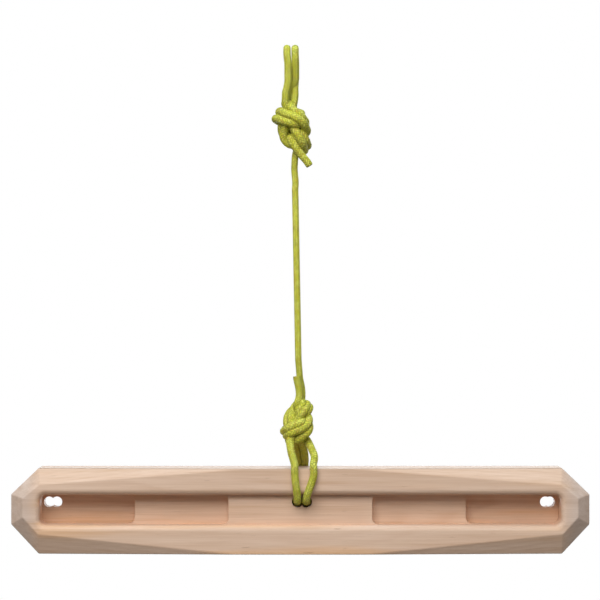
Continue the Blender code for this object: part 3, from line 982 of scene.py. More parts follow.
    def hole_cutter(self, name: str, x: float, up: float, radius: float) -> bpy.types.Object:
        """Makes the cutter of one drilled hole.

        Args:
            name: Its name.
            x: Where the hole is along the board.
            up: How far above the board's middle it is.
            radius: The hole's radius.

        Returns:
            The cutter.
        """
        mesh = bmesh.new()
        bmesh.ops.create_cone(
            mesh, cap_ends=True, segments=self.hole_sides, radius1=radius, radius2=radius,
            depth=self.thickness * 2)
        turn = Vector((0, 0, 1)).rotation_difference(Vector((0, 1, 0))).to_matrix()
        bmesh.ops.rotate(mesh, verts=mesh.verts, cent=(0, 0, 0), matrix=turn)
        bmesh.ops.translate(mesh, verts=mesh.verts, vec=self.point(x, self.thickness / 2, up))
        return piece_of(name, mesh)

    def cutters(self) -> Iterator[bpy.types.Object]:
        """Makes the cutters of the slot, of its pockets and of the holes.

        Yields:
            Each cutter.
        """
        slot_half = self.length / 2 - self.slot_end_margin
        half_z = self.slot_height / 2
        yield self.pocket_cutter(
            "slot_cutter", 0.0, slot_half, half_z, self.lip_sections(self.centre_pocket_depth))
        steps = (
            ("mid", self.centre_pocket_half_length, self.mid_pocket_depth, self.slot_lip_radius, 1),
            ("deep", self.centre_pocket_half_length + self.mid_pocket_length,
             self.deep_pocket_depth, self.centre_pocket_depth + self.slot_lip_radius, 2),
        )
        for name, inner, depth, start, order in steps:
            inset = order * self.pocket_step_inset
            half_x = (slot_half - inset - inner) / 2
            for side, label in ((-1, "left"), (1, "right")):
                yield self.pocket_cutter(
                    f"{label}_{name}_cutter", side * (inner + half_x), half_x, half_z - inset,
                    [(start, 0.0), (depth, 0.0)])
        end = self.length / 2 - self.end_hole_margin
        centre_up = self.centre_hole_z - self.centre_z
        doubles = (
            ("left", -end, self.hole_raise, self.left_hole_spacing, self.end_hole_radius),
            ("centre", self.centre_hole_shift, centre_up, self.centre_hole_spacing,
             self.hole_radius),
            ("right", end, self.hole_raise, self.right_hole_spacing, self.end_hole_radius),
        )
        for name, x, height, spacing, radius in doubles:
            yield self.hole_cutter(f"{name}_hole_a", x - spacing / 2, height, radius)
            yield self.hole_cutter(f"{name}_hole_b", x + spacing / 2, height, radius)

    def smooth_curves(self, mesh: bpy.types.Mesh) -> None:
        """Shades the lips and holes smooth and keeps the facets' edges.

        Args:
            mesh: The board's mesh.
        """
        shape = bmesh.new()
        shape.from_mesh(mesh)
        bmesh.ops.remove_doubles(shape, verts=shape.verts, dist=1e-6)
        for face in shape.faces:
            face.smooth = True
        sharpest = math.radians(self.smooth_angle)
        for edge in shape.edges:
            edge.smooth = len(edge.link_faces) == 2 and edge.calc_face_angle(0.0) < sharpest
        shape.to_mesh(mesh)
        shape.free()

    def build(self) -> bpy.types.Object:
        """Makes the board, dresses it and puts it in the frame.

        Returns:
            The board.
        """
        board = self.blank()
        tools = list(self.cutters())
        for tool in tools:
            cut = board.modifiers.new(tool.name, "BOOLEAN")
            cut.operation = "DIFFERENCE"
            cut.solver = "EXACT"
            cut.object = tool
        cut_board = made_plain("board_cut", board)
        for tool in tools:
            bpy.data.objects.remove(tool, do_unlink=True)
        self.smooth_curves(cut_board.data)
        weigh = cut_board.modifiers.new("flat_facets", "WEIGHTED_NORMAL")
        weigh.keep_sharp = True
        piece = made_plain("board_wood", cut_board)
        piece.data.materials.clear()
        piece.data.materials.append(self.finish.build("sanded_hardwood"))
        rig.replaces(piece, "board")
        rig.slot(piece, "hardwood")
        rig.ride(piece, "board")
        return piece


# Cord routes


def distances(points: Points) -> Points:
    """How far along a polyline each of its points is."""
    steps = np.sqrt(((points[1:] - points[:-1]) ** 2).sum(1))
    return np.concatenate([[0.0], np.cumsum(steps)])


def resample(points: Points, step: float) -> Points:
    """Puts points the same distance apart along a polyline.

    Args:
        points: The polyline.
        step: The distance.

    Returns:
        The new points.
    """
    along = distances(points)
    count = max(4, int(round(along[-1] / step)) + 1)
    wanted = np.linspace(0.0, along[-1], count)
    return np.stack([np.interp(wanted, along, points[:, axis]) for axis in range(3)], axis=1)


def smooth_curve(points: Points | Sequence[Sequence[float]], step: float) -> Points:
    """Draws a smooth curve through points.

    Args:
        points: What it passes through.
        step: How far apart the curve's own points are.

    Returns:
        The curve's points.
    """
    route = np.asarray(points, dtype=float)
    route = np.vstack([2 * route[0] - route[1], route, 2 * route[-1] - route[-2]])
    t = np.linspace(0.0, 1.0, CURVE_STEPS, endpoint=False)[:, None]
    pieces = []
    for a, b, c, d in zip(route, route[1:], route[2:], route[3:]):
        pieces.append(0.5 * (
            2 * b + (c - a) * t + (2 * a - 5 * b + 4 * c - d) * t * t
            + (3 * b - a - 3 * c + d) * t * t * t))
    pieces.append(route[-2:-1])
    return resample(np.vstack(pieces), step)


def eased(share: Points) -> Points:
    """Keeps a share between 0 and 1 and rounds off both ends of its rise."""
    share = np.clip(share, 0, 1)
    return share * share * (3 - 2 * share)


def split_at_height(route: Points, height: float) -> tuple[Points, Points]:
    """Cuts a route where it first passes a height.

    Args:
        route: The route.
        height: The height.

    Returns:
        The part before it, and the rest.
    """
    above = route[:, 2] > height
    index = int(np.argmax(above != above[0]))
    return route[:index], route[index:]


@dataclass(frozen=True)
class KnotPlan:
    """The double-loop figure-eight before it is drawn tight, in plan units.

    Each point is across, along and height over the plan, with the line below and the loops above.
    """

    unit: float = 0.017
    height: float = 0.0085
    lane_pitch: float = 0.0070
    plan_step: float = 0.002
    lane_step: float = 0.006
    collar_step: float = 0.010
    centre: tuple[tuple[float, float, float], ...] = (
        (-0.05, -2.05, 0.4), (-0.15, -1.50, 1.0), (-0.10, -0.90, 0.4),
        (0.12, -0.30, -1.0), (0.45, 0.30, -0.6), (0.95, 0.90, 0.2), (0.75, 1.50, 0.7),
        (0.10, 1.75, 1.0), (-0.65, 1.50, 0.6), (-0.90, 0.95, 0.0), (-0.55, 0.35, -0.6),
        (-0.28, 0.00, -1.0), (0.12, -0.30, 1.0), (0.65, -0.75, 0.5), (0.95, -1.20, 0.0),
        (0.60, -1.60, -0.6), (-0.15, -1.75, -1.0), (-0.80, -1.50, -0.5), (-0.95, -1.00, 0.1),
        (-0.60, -0.40, 0.7), (-0.28, 0.00, 1.0), (0.00, 0.70, 0.2), (0.10, 1.60, -1.0),
        (0.10, 2.10, -0.8),
    )
    collar_return: tuple[tuple[float, float, float], ...] = (
        (0.45, -2.15, 0.47), (0.80, -2.45, 0.12), (1.15, -2.15, 0.0), (0.95, -1.70, 0.0),
        (0.40, -1.20, 0.0), (0.15, -0.60, 0.0), (-0.05, 0.00, 0.0), (-0.10, 0.80, 0.0),
        (0.05, 1.50, 0.0),
    )

    def metres(self, points: Sequence[Sequence[float]]) -> Points:
        """Turns plan units into metres."""
        return np.asarray(points, dtype=float) * np.array([self.unit, self.unit, self.height])

    def lane(self, centre: Points, offset: float) -> Points:
        """Lays a strand beside the centre one.

        Args:
            centre: The centre strand.
            offset: How far to its left.

        Returns:
            The strand's points.
        """
        along = np.gradient(centre, axis=0)
        across = np.stack([-along[:, 1], along[:, 0], np.zeros(len(along))], axis=1)
        across /= np.sqrt((across ** 2).sum(1))[:, None]
        return centre + across * offset

    def edge_on(self, points: Points) -> Points:
        """Stands the plan edge-on, its height to the left and its across to the front."""
        return np.stack([-points[:, 2], points[:, 1], points[:, 0]], axis=1)

    def strands(self, ends: dict[str, Points]) -> list[Points]:
        """Lays out the loose knot between its ends.

        Args:
            ends: A few points of each end, from the end inwards.

        Returns:
            The line, collar and tail strands.
        """
        centre = smooth_curve(self.metres(self.centre), self.plan_step)
        tail = self.edge_on(resample(centre, self.lane_step))
        line = self.edge_on(resample(self.lane(centre, self.lane_pitch), self.lane_step))
        collar_in = resample(self.lane(centre, -self.lane_pitch), self.collar_step)
        collar_in = self.edge_on(collar_in)[::-1][:-2]
        collar_out = self.edge_on(self.metres(self.collar_return))
        return [
            np.vstack([ends["line"], line, ends["line_loop"][::-1]]),
            np.vstack([ends["collar_in"], collar_in, collar_out, ends["collar_out"][::-1]]),
            np.vstack([ends["tail_loop"], tail[::-1], ends["tail"][::-1]]),
        ]


@dataclass(frozen=True)
class Stage:
    """One stage of drawing a knot tight."""

    pitch_share: float
    rounds: int
    pull: float
    pushes: int


@dataclass
class KnotTier:
    """Draws a knot tight: beads are pulled along each strand and kept a pitch apart."""

    plan: KnotPlan = field(default_factory=KnotPlan)
    pitch: float = 0.0069
    bead_step: float = 0.0030
    nearness: float = 1.5
    push_share: float = 1.3
    rounds_between_searches: int = 8
    stages: tuple[Stage, ...] = (
        Stage(0.8, 40, 0.10, 3), Stage(1.0, 800, 0.40, 3), Stage(1.02, 160, 0.03, 6))

    def numbers(self, strands: Sequence[Points]) -> tuple[np.ndarray, np.ndarray, np.ndarray]:
        """Numbers the beads.

        Args:
            strands: The strands.

        Returns:
            For each bead its strand, its place on it, and its place from the nearer end.
        """
        owner = np.concatenate([np.full(len(s), k) for k, s in enumerate(strands)])
        place = np.concatenate([np.arange(len(s)) for s in strands])
        from_end = np.concatenate([
            np.minimum(np.arange(len(s)), np.arange(len(s))[::-1]) for s in strands])
        return owner, place, from_end

    def close_pairs(
        self, strands: Sequence[Points], reach: float, skip: int
    ) -> tuple[np.ndarray, np.ndarray]:
        """Finds beads that are near each other without being neighbours.

        Args:
            strands: The strands.
            reach: How near is near.
            skip: How many beads along one strand are neighbours.

        Returns:
            The first and the second bead of each pair.
        """
        beads = np.vstack(strands)
        owner, place, _ = self.numbers(strands)
        squared = ((beads[:, None, :] - beads[None, :, :]) ** 2).sum(2)
        same = owner[:, None] == owner[None, :]
        same &= np.abs(place[:, None] - place[None, :]) <= skip
        first, second = np.nonzero(np.triu((squared < reach * reach) & ~same, 1))
        return first, second

    def draw(self, strands: Sequence[Points], stage: Stage) -> list[Points]:
        """Shortens the strands between their fixed ends while keeping them a pitch apart.

        Args:
            strands: The strands.
            stage: How near, how often and how hard.

        Returns:
            The settled strands.
        """
        pitch = stage.pitch_share * self.pitch
        reach = self.nearness * pitch
        skip = int(round(reach / self.bead_step))
        strands = [s.copy() for s in strands]
        for turn in range(stage.rounds):
            if turn % self.rounds_between_searches == 0:
                strands = [resample(s, self.bead_step) for s in strands]
                first, second = self.close_pairs(strands, reach, skip)
                _, _, from_end = self.numbers(strands)
                freedom = np.clip((from_end - 1) / 2.0, 0.0, 1.0)
                total = len(freedom)
            starts = np.cumsum([0] + [len(s) for s in strands])
            beads = np.vstack(strands)
            bend = np.zeros_like(beads)
            for start, strand in zip(starts, strands):
                inner = slice(start + 1, start + len(strand) - 1)
                bend[inner] = strand[:-2] + strand[2:] - 2 * strand[1:-1]
            beads = beads + stage.pull * bend * freedom[:, None]
            for _ in range(stage.pushes):
                apart = beads[first] - beads[second]
                distance = np.sqrt((apart ** 2).sum(1))
                overlap = np.maximum(pitch - distance, 0.0)
                push = apart * (0.5 * overlap / np.maximum(distance, 1e-9))[:, None]
                touching = (overlap > 0).astype(float)
                count = np.bincount(first, touching, total) + np.bincount(second, touching, total)
                move = np.stack([
                    np.bincount(first, push[:, axis], total)
                    - np.bincount(second, push[:, axis], total)
                    for axis in range(3)], axis=1)
                share = self.push_share * freedom / np.maximum(count, 1.0)
                beads = beads + move * share[:, None]
            strands = [beads[a:b] for a, b in zip(starts, starts[1:])]
        return strands

    def tie(
        self, centre: Sequence[float], facing: Facing, ends: dict[str, Sequence], step: float
    ) -> list[Points]:
        """Ties a knot between ends that are given in the frame.

        Args:
            centre: The knot's middle.
            facing: Which way its loops point.
            ends: A few points of each end, from the end inwards.
            step: How far apart the routes' points are.

        Returns:
            The line, collar and tail strands.
        """
        up = facing.value
        local = {}
        for name, points in ends.items():
            at = np.asarray(points, dtype=float)
            local[name] = np.stack([
                at[:, 0] - centre[0], up * (at[:, 2] - centre[2]), centre[1] - at[:, 1]], axis=1)
        strands = [smooth_curve(strand, self.bead_step) for strand in self.plan.strands(local)]
        for stage in self.stages:
            strands = self.draw(strands, stage)
        settled = []
        for strand in strands:
            placed = np.stack([
                centre[0] + strand[:, 0], centre[1] - strand[:, 2],
                centre[2] + up * strand[:, 1]], axis=1)
            settled.append(smooth_curve(placed, step))
        return settled


@dataclass(frozen=True)
class Press:
    """Moves, squeezes and leans all cord round one place, less and less with distance."""

    place: tuple[float, float, float]
    shift: tuple[float, float, float]
    full: float
    none: float
    squeeze: tuple[float, float, float] = (1.0, 1.0, 1.0)
    lean: float = 0.0

    def apply(self, route: Points) -> Points:
        """Presses a route.

        Args:
            route: The route.

        Returns:
            The pressed route.
        """
        away = route - np.array(self.place)
        distance = np.sqrt((away ** 2).sum(1))
        share = eased((self.none - distance) / (self.none - self.full))
        change = np.array(self.shift) + away * (np.array(self.squeeze) - 1.0)
        change[:, 2] += self.lean * away[:, 0]
        return route + change * share[:, None]


@dataclass(frozen=True)
class HitchPlan:
    """Where one knot is, where its line, legs and tail leave it, and how the tail is moved."""

    facing: Facing
    centre: tuple[float, float, float]
    line_z: float
    legs_z: float
    tail_z: float
    tail_guide: tuple[tuple[float, float, float], ...]
    tail_shift: tuple[float, float, float]
    tail_reach: float
    tail_fade: float


@dataclass
class CordRoute:
    """Where the cord runs, from one cut end to the other."""

    board: GripBoard
    tier: KnotTier = field(default_factory=KnotTier)
    upper: HitchPlan = HitchPlan(
        facing=Facing.UP, centre=(-0.0018, -0.0155, -0.0790),
        line_z=-0.100, legs_z=-0.040, tail_z=-0.1085,
        tail_guide=((0.0260, -0.004, -0.1270), (0.0252, -0.004, -0.1242)),
        tail_shift=(0.0040, -0.0015, 0.0010), tail_reach=0.026, tail_fade=0.024)
    lower: HitchPlan = HitchPlan(
        facing=Facing.DOWN, centre=(0.0052, -0.0140, -0.3445),
        line_z=-0.318, legs_z=-0.377, tail_z=-0.304,
        tail_guide=((0.0020, -0.0090, -0.2900), (0.0021, -0.0090, -0.2930)),
        tail_shift=(0.0030, 0.0010, 0.0), tail_reach=0.030, tail_fade=0.014)
    diameter: float = 0.0062
    clearance: float = 0.0005
    edge_margin: float = 0.0001
    edge_lean: float = 35.0
    route_step: float = 0.0005
    leg_step: float = 0.003
    join_step: float = 0.0015
    knot_lead: float = 0.032
    line_top_x: float = 0.0031
    line_bottom_x: float = 0.0072
    bar_diameter: float = 0.012
    bar_points: int = 13
    hanging_loop_xs: tuple[float, float] = (-0.0040, 0.0036)
    leg_xs: tuple[float, float] = (-0.0030, 0.0040)
    leg_lean: float = 0.0001
    leg_fade: float = 0.014
    bar_fade: float = 0.012
    bar_fade_z: float = -0.001
    board_loop_front_xs: tuple[float, float] = (0.0034, 0.0208)
    board_loop_back_xs: tuple[float, float] = (0.0064, 0.0129)
    hole_bow: float = 0.0002
    leg_bows: tuple[float, float, float, float] = (0.0013, -0.0048, 0.0098, -0.0034)
    bow_peak: float = 0.013
    bow_into_leg: float = 0.032
    bow_into_knot: float = 0.014
    leg_bellies: tuple[float, float, float, float] = (0.0, 0.0, 0.0023, 0.0)
    belly_middle: float = 0.0075
    belly_reach: float = 0.015
    upper_tail_bow: float = 0.0055
    tail_bow_middle: float = 0.018
    tail_bow_reach: float = 0.022
    presses: tuple[Press, ...] = (
        Press((0.0, -0.0022, -0.0712), (0.0, 0.0, -0.0016), 0.024, 0.044,
              squeeze=(0.93, 0.93, 0.93), lean=-0.26),
        Press((-0.0040, -0.0080, -0.0600), (0.0010, 0.0, 0.0010), 0.008, 0.022,
              squeeze=(0.94, 1.0, 1.0), lean=-0.26),
        Press((-0.0010, -0.0045, -0.0450), (0.0004, 0.0, 0.0), 0.010, 0.022,
              squeeze=(0.56, 1.0, 1.0)),
        Press((0.0050, 0.0, -0.1040), (-0.0022, 0.0, 0.0), 0.004, 0.022),
        Press((0.0067, -0.0052, -0.3467), (-0.0014, 0.0, 0.0), 0.020, 0.036,
              squeeze=(0.72, 0.84, 0.86), lean=0.26),
        Press((0.0045, -0.0060, -0.3250), (0.0032, 0.0, 0.0), 0.003, 0.022),
    )

    @property
    def bar_turn(self) -> float:
        """The radius of the cord's own turn over the bar."""
        return (self.bar_diameter + self.diameter) / 2

    @property
    def edge_turn(self) -> float:
        """The radius of the cord's turn over an edge of the board."""
        return self.diameter / 2 + self.clearance + self.edge_margin

    def line_share(self, z: float) -> float:
        """How far down the line, from 0 at one knot to 1 at the other, a height is."""
        return (z - self.upper.line_z) / (self.lower.line_z - self.upper.line_z)

    def line_x(self, z: float) -> float:
        """Where the line is, between the knots, at a height."""
        return self.line_top_x + self.line_share(z) * (self.line_bottom_x - self.line_top_x)

    def hanging_legs(self, x: float) -> tuple[list, list]:
        """Where a hanging loop's legs leave the bar.

        Args:
            x: The loop's place along the bar.

        Returns:
            The front and the back leg's end points.
        """
        y, z = -self.bar_turn, -self.bar_diameter / 2
        front = [(x, y, z), (x, y + self.leg_lean, z - self.tier.bead_step)]
        back = [(px, -py, pz) for px, py, pz in front]
        return front, back

    def over_the_bar(self, x: float) -> Points:
        """Half turn of cord over the bar, from its front to its back.

        Args:
            x: The loop's place along the bar.

        Returns:
            Its points.
        """
        angles = np.radians(np.linspace(180.0, 0.0, self.bar_points)[1:-1])
        return np.stack([
            np.full(len(angles), x), self.bar_turn * np.cos(angles),
            self.bar_turn * np.sin(angles) - self.bar_diameter / 2], axis=1)

    def board_legs(self, front_x: float, back_x: float) -> tuple[list, list]:
        """Where a loop's legs bend over the board's upper edges.

        Args:
            front_x: The front leg's place along the board.
            back_x: The back leg's place.

        Returns:
            The front and the back leg's end points.
        """
        around, lean = self.edge_turn, math.radians(self.edge_lean)
        over, up = around * math.cos(lean), around * math.sin(lean)
        top, front, back = self.board.top_z, self.board.front_y, self.board.back_y
        return (
            [(front_x, front - around, top), (front_x, front - over, top + up)],
            [(back_x, back + around, top), (back_x, back + over, top + up)])

    def round_the_board(self, front_x: float, x_hole: float) -> Points:
        """From the front upper edge, through the double hole and up to the back upper edge.

        Args:
            front_x: The front leg's place at the edge.
            x_hole: The drilling that the loop goes through.

        Returns:
            Its points.
        """
        keep_off = self.diameter / 2 + self.clearance
        inner_front = self.board.front_y + self.board.centre_pocket_depth
        inner_back = self.board.back_y
        front, back = self.board.front_y - keep_off, inner_back + keep_off
        top, axis = self.board.top_z, self.board.centre_hole_z
        hole_top = axis + self.board.hole_radius
        hole = hole_top - keep_off
        outwards = math.copysign(1.0, x_hole - sum(self.board.hole_xs) / 2)
        x_middle = x_hole + outwards * self.hole_bow
        x_back = x_hole - outwards * self.hole_bow / 3
        # Each point is set off a little from an edge or from the drilling, to clear the wood.
        return np.array([
            (front_x, front - 0.0002, top - 0.0060),
            ((2 * front_x + x_hole) / 3, front - 0.0005, top - 0.0140),
            ((front_x + 5 * x_hole) / 6, front + 0.0004, hole + 0.0062),
            (x_hole, front + 0.0044, hole + 0.0004),
            (x_hole, inner_front, axis + 0.0006),
            (x_middle, (inner_front + inner_back) / 2, axis),
            (x_back, inner_back - 0.0060, axis),
            (x_hole, inner_back - 0.0005, hole - 0.0009),
            (x_hole, back - 0.0009, hole + 0.0006),
            (x_hole, back + 0.0005, hole_top - 0.0003),
            (x_hole, back + 0.0004, hole_top + 0.0050),
            (x_hole, back + 0.0002, top - 0.0100),
        ])

    def off_the_edges(self, route: Points) -> Points:
        """Moves what lies too near the board's upper edges straight away from them.

        Args:
            route: A loop's route.

        Returns:
            The moved route.
        """
        route = route.copy()
        for edge_y in (self.board.front_y, self.board.back_y):
            edge = np.array([edge_y, self.board.top_z])
            away = route[:, 1:] - edge
            distance = np.sqrt((away ** 2).sum(1))
            route[:, 1:] = edge + away * np.maximum(self.edge_turn / distance, 1.0)[:, None]
        return route

    def loop(self, out: Points, middle: Points, back: Points) -> Points:
        """One route from a knot along one leg, round what it goes round, and back.

        Args:
            out: The leg that leaves the knot.
            middle: What the loop does at its far end.
            back: The leg that comes back.

        Returns:
            The whole loop.
        """
        legs = [resample(out, self.leg_step), middle, resample(back, self.leg_step)]
        return smooth_curve(np.vstack(legs), self.route_step)

    def straightened(self, loop: Points, x: float) -> Points:
        """Draws both legs of a hanging loop to one place along the bar.

        Args:
            loop: The loop's route.
            x: Where its legs hang.

        Returns:
            The straightened route.
        """
        loop = loop.copy()
        from_knot = eased((loop[:, 2] - self.upper.legs_z) / self.leg_fade)
        from_bar = eased((self.bar_fade_z - loop[:, 2]) / self.bar_fade)
        loop[:, 0] += (x - loop[:, 0]) * from_knot * from_bar
        return loop

    def tied(
        self, plan: HitchPlan, legs: Sequence[tuple[list, list]], middles: Sequence[Points]
    ) -> tuple[Points, ...]:
        """Ties one knot and closes its two loops.

        Args:
            plan: Where the knot is.
            legs: The front and back leg's end points of each loop.
            middles: What each loop does at its far end.

        Returns:
            The line's lead, the line, a loop, the collar, the other loop and the tail.
        """
        (left_front, left_back), (right_front, right_back) = legs
        up = plan.facing.value
        pin = plan.line_z - up * self.knot_lead
        line, collar, tail = self.tier.tie(plan.centre, plan.facing, {
            "line": [(self.line_x(z), 0.0, z) for z in (pin, pin + up * self.tier.bead_step)],
            "line_loop": left_back, "collar_in": left_front,
            "collar_out": right_front, "tail_loop": right_back,
            "tail": plan.tail_guide,
        }, self.route_step)
        lead, line = split_at_height(line, plan.line_z)
        line, left_back = split_at_height(line, plan.legs_z)
        left_front, collar = split_at_height(collar, plan.legs_z)
        collar, right_front = split_at_height(collar, plan.legs_z)
        right_back, tail = split_at_height(tail, plan.legs_z)
        tail, _ = split_at_height(tail, plan.tail_z)
        left = self.loop(left_front[::-1], middles[0], left_back[::-1])
        right = self.loop(right_front, middles[1], right_back)
        return lead, line, left, collar, right, tail

    def upper_hitch(self) -> tuple[Points, Points]:
        """Routes the upper knot and the two hanging loops.

        Returns:
            The hitch from the line to its cut end, and the line's lead out of it.
        """
        legs = [self.hanging_legs(x) for x in self.hanging_loop_xs]
        middles = [self.over_the_bar(x) for x in self.hanging_loop_xs]
        lead, line, left, collar, right, tail = self.tied(self.upper, legs, middles)
        left, right = (self.straightened(*pair) for pair in zip((left, right), self.leg_xs))
        return np.vstack([line, left[::-1], collar, right, tail]), lead[::-1]

    def bowed(self, parts: Sequence[Points]) -> Points:
        """Joins a hitch's parts and bows each leg sideways below the knot.

        Args:
            parts: The line, a loop, the collar, the other loop and the tail, in order.

        Returns:
            The joined route.
        """
        route = np.vstack(parts)
        along = distances(route)
        marks = np.cumsum([len(part) for part in parts[:-1]])
        for number, (mark, reach, belly) in enumerate(zip(marks, self.leg_bows, self.leg_bellies)):
            leg = (along - along[mark]) * (-1.0 if number % 2 else 1.0)
            past = leg + self.bow_peak
            away = np.where(past > 0, past / self.bow_into_leg, -past / self.bow_into_knot)
            route[:, 0] += reach * eased(1.0 - away)
            away = np.abs(leg - self.belly_middle) / self.belly_reach
            route[:, 0] += belly * eased(1.0 - away)
        return route

    def lower_hitch(self) -> tuple[Points, Points]:
        """Routes the lower knot and the two loops round the board.

        Returns:
            The hitch from the line to its cut end, and the line's lead into it.
        """
        fronts = self.board_loop_front_xs
        legs = [self.board_legs(*pair) for pair in zip(fronts, self.board_loop_back_xs)]
        middles = [self.round_the_board(*pair) for pair in zip(fronts, self.board.hole_xs)]
        lead, line, left, collar, right, tail = self.tied(self.lower, legs, middles)
        left, right = (self.off_the_edges(loop) for loop in (left, right))
        return self.bowed([line, left[::-1], collar, right, tail]), lead

    def whole(self) -> tuple[Points, float, float]:
        """Routes the whole cord.

        Returns:
            Its points from the upper cut end to the lower one, and how far along it the line
            leaves the upper knot and enters the lower one.
        """
        upper, upper_lead = self.upper_hitch()
        lower, lower_lead = self.lower_hitch()
        route = np.vstack([upper[::-1], upper_lead, lower_lead, lower])
        joined = smooth_curve(resample(route, self.join_step), self.route_step)
        along = distances(joined)
        pressed = joined.copy()
        for plan, from_tip in ((self.upper, along), (self.lower, along[-1] - along)):
            share = eased((plan.tail_reach - from_tip) / plan.tail_fade)
            pressed += np.array(plan.tail_shift) * share[:, None]
        away = np.abs(along - self.tail_bow_middle) / self.tail_bow_reach
        pressed[:, 0] += self.upper_tail_bow * eased(1 - away)
        for press in self.presses:
            pressed = press.apply(pressed)
        along = distances(pressed)
        out, into = (
            float(along[int(np.argmin(((joined - place) ** 2).sum(1)))])
            for place in (upper_lead[0], lower_lead[-1]))
        return pressed, out, into


# Cord pieces


@dataclass
class SheathTree:
    """Geometry nodes that lay a round sheath along the cord and keep one stretch of it."""

    seed: float = 7.0
    lump_scale: float = 160.0
    unevenness: float = 0.00006
    inputs: tuple[tuple[str, str], ...] = (
        ("Cord", "NodeSocketGeometry"), ("Sides", "NodeSocketInt"), ("Start", "NodeSocketFloat"),
        ("End", "NodeSocketFloat"), ("Finish", "NodeSocketMaterial"))

    def noted(
        self, bench: NodeBench, name: str, shape: bpy.types.NodeSocket, value: bpy.types.NodeSocket
    ) -> Sequence[bpy.types.NodeSocket]:
        """Notes a value on each point of a shape.

        Args:
            bench: The bench on the tree.
            name: The value's name.
            shape: The shape.
            value: The value.

        Returns:
            The shape and the value that was noted on it.
        """
        note = bench.add("GeometryNodeCaptureAttribute")
        note.capture_items.new("FLOAT", name)
        bench.feed(note.inputs[0], shape)
        bench.feed(note.inputs[1], value)
        return note.outputs

    def build(self) -> bpy.types.GeometryNodeTree:
        """Builds the tree.

        Returns:
            The tree, with its sizes as named inputs.
        """
        tree = bpy.data.node_groups.new("woven_sheath", "GeometryNodeTree")
        for name, kind in self.inputs:
            tree.interface.new_socket(name, in_out="INPUT", socket_type=kind)
        tree.interface.new_socket("Sheath", in_out="OUTPUT", socket_type="NodeSocketGeometry")
        bench = NodeBench(tree)
        given = bench.add("NodeGroupInput").outputs
        spline = bench.add("GeometryNodeSplineParameter").outputs
        circle = bench.add_named(
            "GeometryNodeCurvePrimitiveCircle", {"Resolution": given["Sides"], "Radius": 1.0})
        line = self.noted(bench, "Along", given["Cord"], spline["Length"])
        ring = self.noted(bench, "Around", circle.outputs[0], spline["Factor"])
        sweep = bench.add_named("GeometryNodeCurveToMesh", {
            "Curve": line[0], "Profile Curve": ring[0],
            "Scale": bench.add("GeometryNodeInputRadius").outputs[0]})
        angle = bench.math("MULTIPLY", ring[1], 2.0 * math.pi)
        weave = bench.add(
            "ShaderNodeCombineXYZ", bench.math("COSINE", angle), bench.math("SINE", angle), line[1])
        woven = bench.add_named(
            "GeometryNodeStoreNamedAttribute",
            {"Geometry": sweep.outputs[0], "Name": "weave", "Value": weave.outputs[0]},
            data_type="FLOAT_VECTOR", domain="POINT")
        lump = bench.add_named("ShaderNodeTexNoise", {
            "Vector": bench.add("GeometryNodeInputPosition").outputs[0], "W": self.seed,
            "Scale": self.lump_scale, "Detail": 1.0}, noise_dimensions="4D")
        swell = bench.math(
            "MULTIPLY", bench.math("SUBTRACT", lump.outputs[0], 0.5), self.unevenness)
        normal = bench.add("GeometryNodeInputNormal").outputs[0]
        push = bench.add("ShaderNodeVectorMath", normal, operation="SCALE")
        bench.feed_named(push, {"Scale": swell})
        moved = bench.add_named(
            "GeometryNodeSetPosition", {"Geometry": woven.outputs[0], "Offset": push.outputs[0]})
        outside = bench.math(
            "MAXIMUM", bench.math("LESS_THAN", line[1], given["Start"]),
            bench.math("GREATER_THAN", line[1], given["End"]))
        drop = bench.add_named(
            "GeometryNodeDeleteGeometry", {"Geometry": moved.outputs[0], "Selection": outside},
            domain="POINT")
        smooth = bench.add_named("GeometryNodeSetShadeSmooth", {"Geometry": drop.outputs[0]})
        real = bench.add_named("GeometryNodeRealizeInstances", {"Geometry": smooth.outputs[0]})
        paint = bench.add_named(
            "GeometryNodeSetMaterial", {"Geometry": real.outputs[0], "Material": given["Finish"]})
        bench.add("NodeGroupOutput", paint.outputs[0])
        return tree


@dataclass(frozen=True)
class Stretch:
    """One piece of the cord: what it stands for, and the joint that bends it."""

    name: str
    nodes: tuple[str, ...]
    body: str
    next_body: str | None = None
    bend_from: float = 0.0
    bend_to: float = 0.0
    lie: Lie = Lie.TAUT
    far_end: FarEnd = FarEnd.MORE_CORD
    exit_at_end: bool = False


STRETCHES: tuple[Stretch, ...] = (
    Stretch(
        "upper_hitch",
        ("hanging_loop_left", "hanging_loop_right", "upper_knot_line_strand",
         "upper_knot_collar_strand", "upper_knot_tail_strand"),
        "upper_rig", lie=Lie.HANGING, far_end=FarEnd.CUT, exit_at_end=True),
    Stretch("line_below_knot", ("line_top",), "upper_rig", "upper_line", -0.094, -0.110),
    Stretch("line_at_sway", ("line_middle",), "upper_line", "middle_line", -0.141, -0.159),
    Stretch("line_at_twist", (), "middle_line", "lower_line", -0.184, -0.236),
    Stretch("line_above_knot", ("line_bottom",), "lower_line", "lower_rig", -0.309, -0.325),
    Stretch(
        "lower_hitch",
        ("board_loop_left", "board_loop_right", "lower_knot_line_strand",
         "lower_knot_collar_strand", "lower_knot_tail_strand"),
        "lower_rig", "board", -0.378, -0.408, Lie.HANGING, FarEnd.CUT),
)


